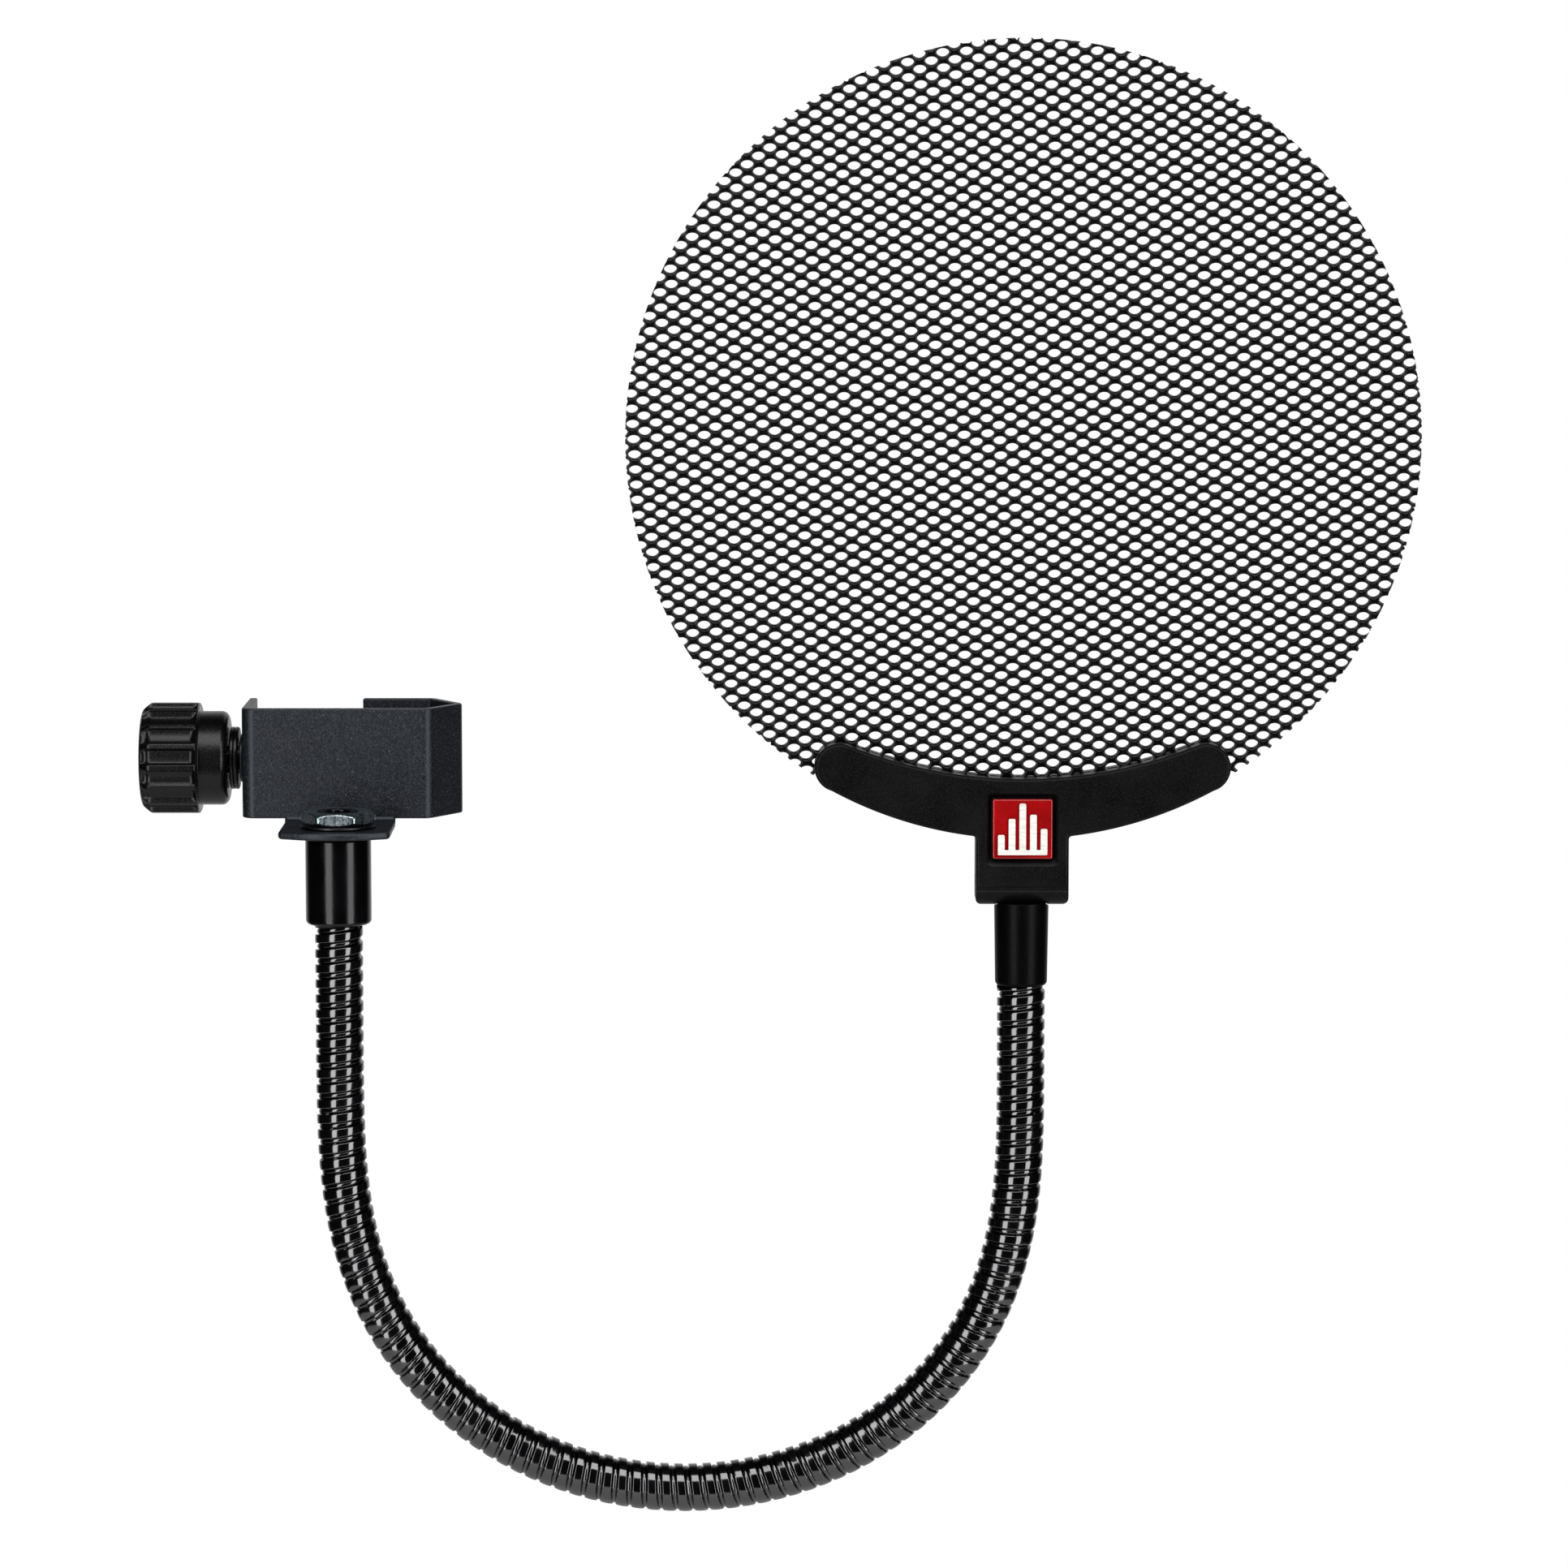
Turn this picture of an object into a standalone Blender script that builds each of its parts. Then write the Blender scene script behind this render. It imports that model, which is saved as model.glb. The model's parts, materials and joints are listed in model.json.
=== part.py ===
"""Gooseneck pop filter: a sheet-steel stand clamp, a bent gooseneck and a round screen in a tilting yoke.

Metres, +Z up. The origin is on the axis of the stand tube that the clamp grips, halfway up the clamp.
The clamp's front faces -Y. The neck starts under the clamp's tab, hangs down, and rises again at +X,
where it carries the screen.
"""

import math

import bmesh
import bpy
import numpy as np
from mathutils import Matrix, Vector

MM = 0.001
GAP = 0.3 * MM
CUT_PAST = 2 * MM

# Clamp bracket: one strip of sheet steel, bent in plan into a jaw
SHEET = 1.6 * MM
BRACKET_HALF_HEIGHT = 11.0 * MM
BRACKET_HALF_DEPTH = 10.5 * MM
LEFT_PLATE_X = -32.6 * MM
JAW_BEND_X = 4.9 * MM
VEE_TIP_X = 11.8 * MM
FLANGE_END_X = -9.6 * MM
BEND_RADIUS = 1.8 * MM

# Tab that is bent forward from the foot of the front plate and carries the neck
TAB_HALF_WIDTH = 11.0 * MM
TAB_OFFSET = -0.4 * MM
TAB_ROOT = 2.2 * MM
TAB_FRONT_Y = -31.0 * MM
TAB_TOP_Z = -11.4 * MM
TAB_NOSE_SAGITTA = 2.7 * MM

# Neck and what fastens it
NECK_X = -12.6 * MM
NECK_Y = -21.5 * MM
NECK_TOP_Z = -30.5 * MM
NECK_RADIUS = 4.75 * MM
NECK_BORE = 2.6 * MM
NECK_LENGTH = 292.7 * MM
# (distance along the neck, relative curvature) where the bend changes
NECK_BENDS = ((0.0, 0.0), (0.028, 0.0), (0.072, 16.2), (0.120, 14.7), (0.170, 13.9),
              (0.215, 17.0), (0.232, 16.5), (0.274, 0.0), (NECK_LENGTH, 0.0))
NECK_SEGMENTS = 18
NECK_SIDES = 14
SEGMENT_CONE = math.radians(12.5)
SOCKET_DEPTH = 12.0 * MM
STUD_RADIUS = 4.0 * MM
NUT_ACROSS_FLATS = 13.0 * MM
NUT_HEIGHT = 2.4 * MM
WASHER_HEIGHT = 0.5 * MM
STACK_GAP = 0.2 * MM
FERRULE_RADIUS = 6.5 * MM
POST_RADIUS = 5.4 * MM
POST_FOOT_RADIUS = 5.15 * MM
SPIGOT_LENGTH = 8.0 * MM

# Clamp screw, along X through the middle of the bracket's left plate
SCREW_RADIUS = 3.0 * MM
KNOB_RADIUS = 11.2 * MM
KNOB_FLUTES = 16
KNOB_FLUTE_DEPTH = 0.6 * MM
KNOB_OUTER_X = -53.2 * MM
KNOB_STEP_X = -41.5 * MM
KNOB_INNER_X = -35.8 * MM
COLLAR_RADIUS = 9.4 * MM
SPACER_THICKNESS = 1.7 * MM
BUSH_FLANGE = 0.6 * MM
PAD_FACE_X = -8.3 * MM
PAD_RADIUS = 6.2 * MM

# Head: yoke, hinge and screen, about the vertical line through the neck's upper end
HINGE_RISE = 21.1 * MM
BARREL_RADIUS = 4.8 * MM
BLOCK_HALF_WIDTH = 9.15 * MM
EYE_RADIUS = 3.6 * MM
EYE_HALF_WIDTH = 3.7 * MM
STEM_FRONT = 1.3 * MM
SKIRT_END_ANGLE = 245.0
SADDLE_DROP = 4.25 * MM
SIDE_WASHER = 1.0 * MM
PIN_RADIUS = 1.5 * MM
YOKE_FRONT_Y = -26.3 * MM
YOKE_BACK_Y = -17.0 * MM
CRESCENT_BACK_Y = -18.0 * MM
SCREEN_RADIUS = 78.0 * MM
SCREEN_THICKNESS = 0.6 * MM
SCREEN_SLOT = 1.5 * MM
SCREEN_RISE = 87.1 * MM
CRESCENT_OUTER = 78.5 * MM
CRESCENT_INNER = 92.0 * MM
CRESCENT_END_RADIUS = 4.8 * MM
YOKE_FILLET = 0.7 * MM
CRESCENT_END_X = 36.1 * MM
CRESCENT_END_RISE = 22.7 * MM
BADGE_SIDE = 11.8 * MM
BADGE_RISE = 10.7 * MM
BADGE_THICKNESS = 1.25 * MM
POCKET_DEPTH = 1.2 * MM
EMBLEM_THICKNESS = 0.4 * MM
YOKE_SCREW_ANGLES = (-22.0, 0.0, 22.0)
YOKE_SCREW_RING = 72.8 * MM


# ---------------------------------------------------------------- materials and objects

def make_material(name, colour, roughness, metallic):
    material = bpy.data.materials.new(name)
    material.use_nodes = True
    shader = material.node_tree.nodes["Principled BSDF"]
    shader.inputs["Base Color"].default_value = (*colour, 1.0)
    shader.inputs["Roughness"].default_value = roughness
    shader.inputs["Metallic"].default_value = metallic
    return material


def add_object(name, shape, colour=(0.02, 0.02, 0.022), roughness=0.5, metallic=0.0):
    """Turns a bmesh into an object with its own material, shaded smooth between its sharp edges."""
    bmesh.ops.recalc_face_normals(shape, faces=shape.faces)
    mesh = bpy.data.meshes.new(name)
    shape.to_mesh(mesh)
    shape.free()
    mesh.shade_smooth()
    mesh.set_sharp_from_angle(angle=math.radians(35))
    mesh.materials.append(make_material(name, colour, roughness, metallic))
    obj = bpy.data.objects.new(name, mesh)
    bpy.context.scene.collection.objects.link(obj)
    return obj


def add_cutter(name, shape):
    obj = add_object(name, shape)
    obj.hide_render = True
    obj.display_type = "WIRE"
    return obj


def combine(obj, other, operation="DIFFERENCE"):
    modifier = obj.modifiers.new(other.name, "BOOLEAN")
    modifier.operation = operation
    modifier.solver = "EXACT"
    modifier.object = other


def place(obj, location, axis=(0, 0, 1)):
    """Moves an object that was made about +Z so that it stands along axis at location."""
    turn = Vector((0, 0, 1)).rotation_difference(Vector(axis)).to_matrix().to_4x4()
    obj.matrix_world = Matrix.Translation(location) @ turn
    return obj


# ---------------------------------------------------------------- shape makers

def turned(profile, sides):
    """A solid turned about Z from (radius, height) points. Ends on the axis close it, or the loop closes."""
    shape = bmesh.new()
    points = [shape.verts.new((radius, 0, height)) for radius, height in profile]
    pairs = list(zip(points, points[1:]))
    if profile[0][0] > 0:
        pairs.append((points[-1], points[0]))
    edges = [shape.edges.new(pair) for pair in pairs]
    bmesh.ops.spin(shape, geom=points + edges, cent=(0, 0, 0), axis=(0, 0, 1),
                   angle=2 * math.pi, steps=sides)
    bmesh.ops.remove_doubles(shape, verts=shape.verts, dist=1e-6)
    return shape


def prism(outline, low, high, plane="XY"):
    """A flat outline in the named plane, extruded from low to high along the third axis."""
    order = {"XY": (0, 1, 2), "XZ": (0, 2, 1), "YZ": (2, 0, 1)}[plane]

    def spread(point, height):
        values = (*point, height)
        return Vector([values[i] for i in order])

    shape = bmesh.new()
    face = shape.faces.new([shape.verts.new(spread(point, low)) for point in outline])
    made = bmesh.ops.extrude_face_region(shape, geom=[face])["geom"]
    moved = [item for item in made if isinstance(item, bmesh.types.BMVert)]
    bmesh.ops.translate(shape, verts=moved, vec=spread((0, 0), high - low))
    return shape


def loft(rings, closed):
    """Joins rings of equally many points, closing the loop of rings or capping both ends."""
    shape = bmesh.new()
    rows = [[shape.verts.new(point) for point in ring] for ring in rings]
    steps = list(zip(rows, rows[1:]))
    if closed:
        steps.append((rows[-1], rows[0]))
    for row, following in steps:
        for i in range(len(row)):
            shape.faces.new((row[i - 1], row[i], following[i], following[i - 1]))
    if not closed:
        shape.faces.new(rows[0])
        shape.faces.new(rows[-1])
    return shape


def arc(centre, radius, start, end, steps):
    """Points on an arc, from one angle to another in degrees."""
    angles = np.radians(np.linspace(start, end, steps + 1))
    return [(centre[0] + radius * math.cos(a), centre[1] + radius * math.sin(a)) for a in angles]


def rounded_square(centre, side, radius):
    """A square outline with round corners."""
    reach = side / 2 - radius
    points = []
    for quarter, (u, v) in enumerate(((1, 1), (-1, 1), (-1, -1), (1, -1))):
        corner = (centre[0] + u * reach, centre[1] + v * reach)
        points += arc(corner, radius, 90 * quarter, 90 * quarter + 90, 3)
    return points


def bent_strip(corners, radius, thickness, steps=4):
    """The outline of a strip of sheet along straight runs, with a round bend at each inner corner."""
    middle = [Vector(corner) for corner in corners]
    line = [(middle[0], (middle[1] - middle[0]).normalized())]
    for before, corner, after in zip(middle, middle[1:], middle[2:]):
        way_in = (corner - before).normalized()
        way_out = (after - corner).normalized()
        turn = way_in.angle_signed(way_out)
        reach = radius * math.tan(abs(turn) / 2)
        side = math.copysign(1, -turn)
        centre = corner - way_in * reach + way_in.orthogonal() * side * radius
        spoke = corner - way_in * reach - centre
        for step in range(steps + 1):
            rotation = Matrix.Rotation(-turn * step / steps, 2)
            line.append((centre + rotation @ spoke, rotation @ way_in))
    line.append((middle[-1], (middle[-1] - middle[-2]).normalized()))
    left = [point + way.orthogonal() * thickness / 2 for point, way in line]
    right = [point - way.orthogonal() * thickness / 2 for point, way in line]
    return left + right[::-1]


# ---------------------------------------------------------------- the neck's path

def neck_table():
    """Distance, place and direction along the neck. It starts straight down and ends straight up."""
    distance = np.linspace(-SOCKET_DEPTH, NECK_LENGTH, 6001)
    step = distance[1] - distance[0]
    where, bend = np.array(NECK_BENDS).T
    curvature = np.interp(distance, where, bend)
    heading = np.concatenate([[0], np.cumsum((curvature[1:] + curvature[:-1]) / 2 * step)])
    heading = -math.pi / 2 + heading * math.pi / heading[-1]
    run = np.concatenate([[0], np.cumsum((np.cos(heading[1:]) + np.cos(heading[:-1])) / 2 * step)])
    rise = np.concatenate([[0], np.cumsum((np.sin(heading[1:]) + np.sin(heading[:-1])) / 2 * step)])
    return distance, NECK_X + run, NECK_TOP_Z + SOCKET_DEPTH + rise, heading


NECK_TABLE = neck_table()
HEAD_X = float(NECK_TABLE[1][-1])
HEAD_Z = float(NECK_TABLE[2][-1])
HINGE = Vector((HEAD_X, NECK_Y, HEAD_Z + HINGE_RISE))
SCREEN_Z = HINGE.z + SCREEN_RISE


def neck_frame(distance):
    """The neck's centre, its direction and its inward normal at a distance along it."""
    table = NECK_TABLE
    x, z, heading = (float(np.interp(distance, table[0], column)) for column in table[1:])
    forward = Vector((math.cos(heading), 0, math.sin(heading)))
    inward = Vector((-math.sin(heading), 0, math.cos(heading)))
    return Vector((x, NECK_Y, z)), forward, inward


# ---------------------------------------------------------------- clamp

def clamp_bracket():
    half = SHEET / 2
    front = -BRACKET_HALF_DEPTH + half
    vee_slope = BRACKET_HALF_DEPTH / (VEE_TIP_X - JAW_BEND_X)
    inset = half * math.hypot(1, vee_slope) / vee_slope
    tip = VEE_TIP_X - inset
    bend = tip - abs(front) / vee_slope
    corners = ((LEFT_PLATE_X + half, BRACKET_HALF_DEPTH), (LEFT_PLATE_X + half, front), (bend, front),
               (tip, 0), (bend, -front), (FLANGE_END_X, -front))
    outline = bent_strip(corners, BEND_RADIUS, SHEET)
    bracket = add_object("clamp_bracket", prism(outline, -BRACKET_HALF_HEIGHT, BRACKET_HALF_HEIGHT),
                         (0.03, 0.031, 0.035), 0.45, 0.3)
    middle_z = TAB_TOP_Z - half
    root = -BRACKET_HALF_HEIGHT + TAB_ROOT
    tab_x = NECK_X + TAB_OFFSET
    profile = bent_strip(((front, root), (front, middle_z), (TAB_FRONT_Y, middle_z)), BEND_RADIUS, SHEET)
    tab = add_cutter("tab_blank", prism(profile, tab_x - TAB_HALF_WIDTH, tab_x + TAB_HALF_WIDTH, "YZ"))
    combine(tab, add_cutter("tab_plan", prism(tab_plan(tab_x), TAB_TOP_Z - 3 * SHEET, 0)), "INTERSECT")
    combine(bracket, tab, "UNION")
    stud_hole = add_cutter("stud_hole", turned(cylinder(STUD_RADIUS + GAP, 2 * SHEET), 32))
    combine(bracket, place(stud_hole, (NECK_X, NECK_Y, middle_z - SHEET)))
    bush_hole = add_cutter("bush_hole", turned(cylinder(SCREW_RADIUS + 1.3 * MM, 2 * SHEET), 32))
    combine(bracket, place(bush_hole, (LEFT_PLATE_X - half, 0, 0), (1, 0, 0)))


def cylinder(radius, length):
    return ((0, 0), (radius, 0), (radius, length), (0, length))


def tab_plan(middle_x):
    """The tab's outline from above: straight sides and a slightly bowed nose with round corners."""
    corner = 1.5 * MM
    reach = TAB_HALF_WIDTH - corner
    shoulder_y = TAB_FRONT_Y + TAB_NOSE_SAGITTA + corner
    nose_radius = reach ** 2 / (2 * TAB_NOSE_SAGITTA) + TAB_NOSE_SAGITTA / 2
    spread = math.degrees(math.asin(reach / nose_radius))
    points = [(middle_x + TAB_HALF_WIDTH, 0)]
    points += arc((middle_x + reach, shoulder_y), corner, 0, -90 + spread, 4)
    points += arc((middle_x, TAB_FRONT_Y + nose_radius), nose_radius, -90 + spread, -90 - spread, 12)[1:-1]
    points += arc((middle_x - reach, shoulder_y), corner, -90 - spread, -180, 4)
    return points + [(middle_x - TAB_HALF_WIDTH, 0)]


def threaded_bush():
    """Steel bush in the left plate, with its flange outside; the clamp screw's thread runs in it."""
    bore = SCREW_RADIUS + GAP
    barrel = SCREW_RADIUS + 1.0 * MM
    flange = SCREW_RADIUS + 1.8 * MM
    inside = SHEET + BUSH_FLANGE + GAP
    profile = ((bore, 0), (flange, 0), (flange, BUSH_FLANGE), (barrel, BUSH_FLANGE), (barrel, inside),
               (bore, inside))
    bush = add_object("threaded_bush", turned(profile, 32), (0.05, 0.05, 0.05), 0.4, 0.8)
    place(bush, (LEFT_PLATE_X - GAP - BUSH_FLANGE, 0, 0), (1, 0, 0))


def clamp_screw():
    """Steel screw: its outer end is moulded into the knob, and its inner end turns in the pad."""
    start = KNOB_OUTER_X + 6 * MM
    length = PAD_FACE_X - 2.4 * MM - start
    chamfer = 0.6 * MM
    profile = ((0, 0), (SCREW_RADIUS, 0), (SCREW_RADIUS, length - chamfer),
               (SCREW_RADIUS - chamfer, length), (0, length))
    screw = add_object("clamp_screw", turned(profile, 24), (0.5, 0.5, 0.5), 0.3, 1.0)
    place(screw, (start, 0, 0), (1, 0, 0))


def pressure_pad():
    """Round pad that rides on the screw's end and presses the stand tube into the vee."""
    socket = SCREW_RADIUS + GAP
    depth = 2.1 * MM
    boss = 4.6 * MM
    length = 4.0 * MM
    profile = ((0, 0), (PAD_RADIUS - 0.6 * MM, 0), (PAD_RADIUS, 0.6 * MM), (PAD_RADIUS, 2.4 * MM),
               (boss, 2.8 * MM), (boss, length), (socket, length), (socket, depth), (0, depth))
    pad = add_object("pressure_pad", turned(profile, 32), (0.015, 0.015, 0.015), 0.7)
    place(pad, (PAD_FACE_X, 0, 0), (-1, 0, 0))


def knob_spacer():
    """Loose ring between the knob's collar and the bush's flange."""
    bore = SCREW_RADIUS + GAP
    outer = 6.25 * MM
    profile = ((bore, 0), (outer, 0), (outer, SPACER_THICKNESS), (bore, SPACER_THICKNESS))
    ring = add_object("knob_spacer", turned(profile, 32), (0.02, 0.02, 0.02), 0.5)
    place(ring, (KNOB_INNER_X + GAP, 0, 0), (1, 0, 0))


def knob_ring(x, radius, flute_depth):
    """One ring of the knob's surface: four points to each flute, two on its crest and two in its valley."""
    points = []
    for flute in range(KNOB_FLUTES):
        for part, drop in ((0.0, 0), (0.36, 0), (0.5, 1), (0.86, 1)):
            angle = 2 * math.pi * (flute + part) / KNOB_FLUTES
            reach = radius - drop * flute_depth
            points.append((x, reach * math.cos(angle), reach * math.sin(angle)))
    return points


def clamp_knob():
    """Fluted grip, smooth collar and a blind hole for the screw, as one moulding."""
    socket = SCREW_RADIUS + GAP
    flute = KNOB_FLUTE_DEPTH
    rings = (
        (KNOB_OUTER_X, 0.60 * KNOB_RADIUS, 0),
        (KNOB_OUTER_X + 0.5 * MM, 0.90 * KNOB_RADIUS, flute / 3),
        (KNOB_OUTER_X + 1.6 * MM, KNOB_RADIUS, flute),
        (KNOB_STEP_X - 1.0 * MM, KNOB_RADIUS, flute),
        (KNOB_STEP_X, KNOB_RADIUS - 0.5 * MM, flute / 2),
        (KNOB_STEP_X, COLLAR_RADIUS, 0),
        (KNOB_INNER_X - 1.6 * MM, COLLAR_RADIUS, 0),
        (KNOB_INNER_X - 0.4 * MM, COLLAR_RADIUS - 0.7 * MM, 0),
        (KNOB_INNER_X, COLLAR_RADIUS - 1.9 * MM, 0),
        (KNOB_INNER_X, socket, 0),
        (KNOB_OUTER_X + 6 * MM - GAP, socket, 0),
    )
    shape = loft([knob_ring(*ring) for ring in rings], closed=False)
    add_object("clamp_knob", shape, (0.02, 0.02, 0.022), 0.5)


# ---------------------------------------------------------------- neck

def neck_nut():
    """Thin hexagon nut with chamfered corners, one flat facing forward."""
    corner = NUT_ACROSS_FLATS / math.sqrt(3)
    base_z = TAB_TOP_Z + WASHER_HEIGHT + 2 * STACK_GAP
    hexagon = [(corner * math.cos(math.radians(a)), corner * math.sin(math.radians(a)))
               for a in range(0, 360, 60)]
    nut = add_object("neck_nut", prism(hexagon, 0, NUT_HEIGHT), (0.55, 0.58, 0.6), 0.35, 1.0)
    chamfer = 0.45 * MM
    flat = NUT_ACROSS_FLATS / 2
    rounding = ((0, -chamfer), (flat, -chamfer), (corner + chamfer, chamfer),
                (corner + chamfer, NUT_HEIGHT - chamfer), (flat, NUT_HEIGHT + chamfer),
                (0, NUT_HEIGHT + chamfer))
    combine(nut, add_cutter("nut_rounding", turned(rounding, 48)), "INTERSECT")
    hole = add_cutter("nut_hole", turned(cylinder(STUD_RADIUS + GAP, NUT_HEIGHT + 2 * CUT_PAST), 32))
    combine(nut, place(hole, (0, 0, -CUT_PAST)))
    place(nut, (NECK_X, NECK_Y, base_z))
    for name in ("nut_rounding", "nut_hole"):
        cutter = bpy.data.objects[name]
        cutter.matrix_world = Matrix.Translation((NECK_X, NECK_Y, base_z)) @ cutter.matrix_world


def neck_washer():
    bore = STUD_RADIUS + GAP
    outer = 7.4 * MM
    profile = ((bore, 0), (outer, 0), (outer, WASHER_HEIGHT), (bore, WASHER_HEIGHT))
    washer = add_object("neck_washer", turned(profile, 40), (0.1, 0.1, 0.11), 0.4, 0.9)
    place(washer, (NECK_X, NECK_Y, TAB_TOP_Z + STACK_GAP))


def neck_base_ferrule():
    """Turned steel ferrule: a hollow stud up through the tab and a socket for the neck's lower end."""
    stud_top = TAB_TOP_Z + WASHER_HEIGHT + 2 * STACK_GAP + NUT_HEIGHT - NECK_TOP_Z
    shoulder = TAB_TOP_Z - SHEET - GAP - NECK_TOP_Z
    socket = NECK_RADIUS + GAP
    profile = (
        (NECK_BORE, stud_top), (STUD_RADIUS - 0.4 * MM, stud_top), (STUD_RADIUS, stud_top - 0.4 * MM),
        (STUD_RADIUS, shoulder), (FERRULE_RADIUS - 0.6 * MM, shoulder),
        (FERRULE_RADIUS, shoulder - 0.6 * MM), (FERRULE_RADIUS, 1.2 * MM),
        (FERRULE_RADIUS - 0.35 * MM, 0.35 * MM), (FERRULE_RADIUS - 0.9 * MM, 0), (socket, 0),
        (socket, SOCKET_DEPTH + GAP), (NECK_BORE, SOCKET_DEPTH + GAP),
    )
    ferrule = add_object("neck_base_ferrule", turned(profile, 40), (0.01, 0.01, 0.012), 0.15, 0.4)
    place(ferrule, (NECK_X, NECK_Y, NECK_TOP_Z))


def neck_segment(number, start, end):
    """One stretch of the neck: a curved tube with conical ends, which leave room for the bend.

    Its object's origin is on the joint at its start.
    """
    cone = math.tan(SEGMENT_CONE)
    in_socket = number == 1
    at_post = number == NECK_SEGMENTS
    lead = [GAP / 2 + radius * (0 if in_socket else cone) for radius in (NECK_BORE, NECK_RADIUS)]
    tail = [GAP / 2 + radius * (0 if at_post else cone) for radius in (NECK_BORE, NECK_RADIUS)]
    thirds = np.linspace(start + lead[1], end - tail[1], 4)
    stations = [(NECK_BORE, start + lead[0])]
    stations += [(NECK_RADIUS, distance) for distance in thirds]
    stations += [(NECK_BORE, end - tail[0])]
    stations += [(NECK_BORE, distance) for distance in thirds[2:0:-1]]
    rings = []
    origin = neck_frame(start)[0]
    for radius, distance in stations:
        centre, _, inward = neck_frame(distance)
        rings.append([centre - origin + radius * (math.cos(a) * inward + Vector((0, math.sin(a), 0)))
                      for a in np.linspace(0, 2 * math.pi, NECK_SIDES, endpoint=False)])
    segment = add_object(f"neck_segment_{number:02d}", loft(rings, closed=True),
                         (0.01, 0.01, 0.012), 0.12, 0.5)
    segment.location = origin


def head_post():
    """Post on the neck's upper end: a spigot inside the neck, a round body, and an eye for the hinge pin.

    The body's top is a saddle that follows the yoke's barrel in front and clears the tilted yoke behind.
    """
    top = HINGE_RISE - SADDLE_DROP
    spigot = NECK_BORE - GAP
    profile = ((0, GAP / 2 - SPIGOT_LENGTH), (spigot - 0.4 * MM, GAP / 2 - SPIGOT_LENGTH),
               (spigot, 0.4 * MM - SPIGOT_LENGTH), (spigot, GAP / 2),
               (POST_FOOT_RADIUS - 0.8 * MM, GAP / 2), (POST_FOOT_RADIUS, 0.8 * MM), (POST_RADIUS, top),
               (0, top))
    post = add_object("head_post", turned(profile, 40), (0.012, 0.012, 0.012), 0.5)
    place(post, (HEAD_X, NECK_Y, HEAD_Z))
    clearance = BARREL_RADIUS + GAP
    room = arc((0, 0), clearance, 180, 270, 12) + [(BARREL_RADIUS + CUT_PAST, -clearance)]
    room += [(BARREL_RADIUS + CUT_PAST, 0)]
    saddle = add_cutter("saddle", prism(room, -POST_RADIUS - CUT_PAST, POST_RADIUS + CUT_PAST, "YZ"))
    saddle.location = HINGE
    combine(post, saddle)
    foot = -clearance - 1 * MM
    front = 360 - math.degrees(math.acos(-STEM_FRONT / EYE_RADIUS))
    outline = [(-STEM_FRONT, foot)] + arc((0, 0), EYE_RADIUS, front, 0, 26) + [(EYE_RADIUS, foot)]
    tongue = add_cutter("tongue", prism(outline, -EYE_HALF_WIDTH, EYE_HALF_WIDTH, "YZ"))
    tongue.location = HINGE
    combine(post, tongue, "UNION")
    pin_hole = add_cutter("eye_hole", turned(cylinder(PIN_RADIUS + GAP, 4 * EYE_HALF_WIDTH), 24))
    combine(post, place(pin_hole, HINGE - Vector((2 * EYE_HALF_WIDTH, 0, 0)), (1, 0, 0)))


# ---------------------------------------------------------------- head

def yoke_outline():
    """The yoke from the front, about the hinge: a crescent with round ends, over a block."""
    reach = BLOCK_HALF_WIDTH + YOKE_FILLET
    rim = math.sqrt((CRESCENT_OUTER + YOKE_FILLET) ** 2 - reach ** 2)
    fillet = (reach, SCREEN_RISE - rim)
    fillet_end = math.degrees(math.atan2(rim, -fillet[0]))
    end = (CRESCENT_END_X, CRESCENT_END_RISE)
    outer_end = math.degrees(math.atan2(end[1] - SCREEN_RISE, end[0]))
    inner_z = math.sqrt((CRESCENT_INNER + CRESCENT_END_RADIUS) ** 2 - end[0] ** 2) + end[1]
    inner_end = math.degrees(math.atan2(end[1] - inner_z, end[0]))
    right = [(BLOCK_HALF_WIDTH, -BARREL_RADIUS)]
    right += arc(fillet, YOKE_FILLET, 180, fillet_end, 3)
    right += arc((0, SCREEN_RISE), CRESCENT_OUTER, fillet_end - 180, outer_end, 8)[1:-1]
    right += arc(end, CRESCENT_END_RADIUS, outer_end, inner_end + 180, 10)
    right += arc((0, inner_z), CRESCENT_INNER, inner_end, -90, 12)[1:]
    return right + [(-x, z) for x, z in right[-2::-1]]


def yoke_blank(name, low_y, high_y, colour, roughness):
    """The yoke's outline as a plate with softened edges, and the half barrel round the hinge below it."""
    blank = prism(yoke_outline(), low_y - HINGE.y, high_y - HINGE.y, "XZ")
    plate = add_object(name, blank, colour, roughness)
    plate.location = HINGE
    softened = plate.modifiers.new("softened_edges", "BEVEL")
    softened.width = 0.7 * MM
    softened.segments = 2
    softened.limit_method = "ANGLE"
    softened.angle_limit = math.radians(50)
    return plate


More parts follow.
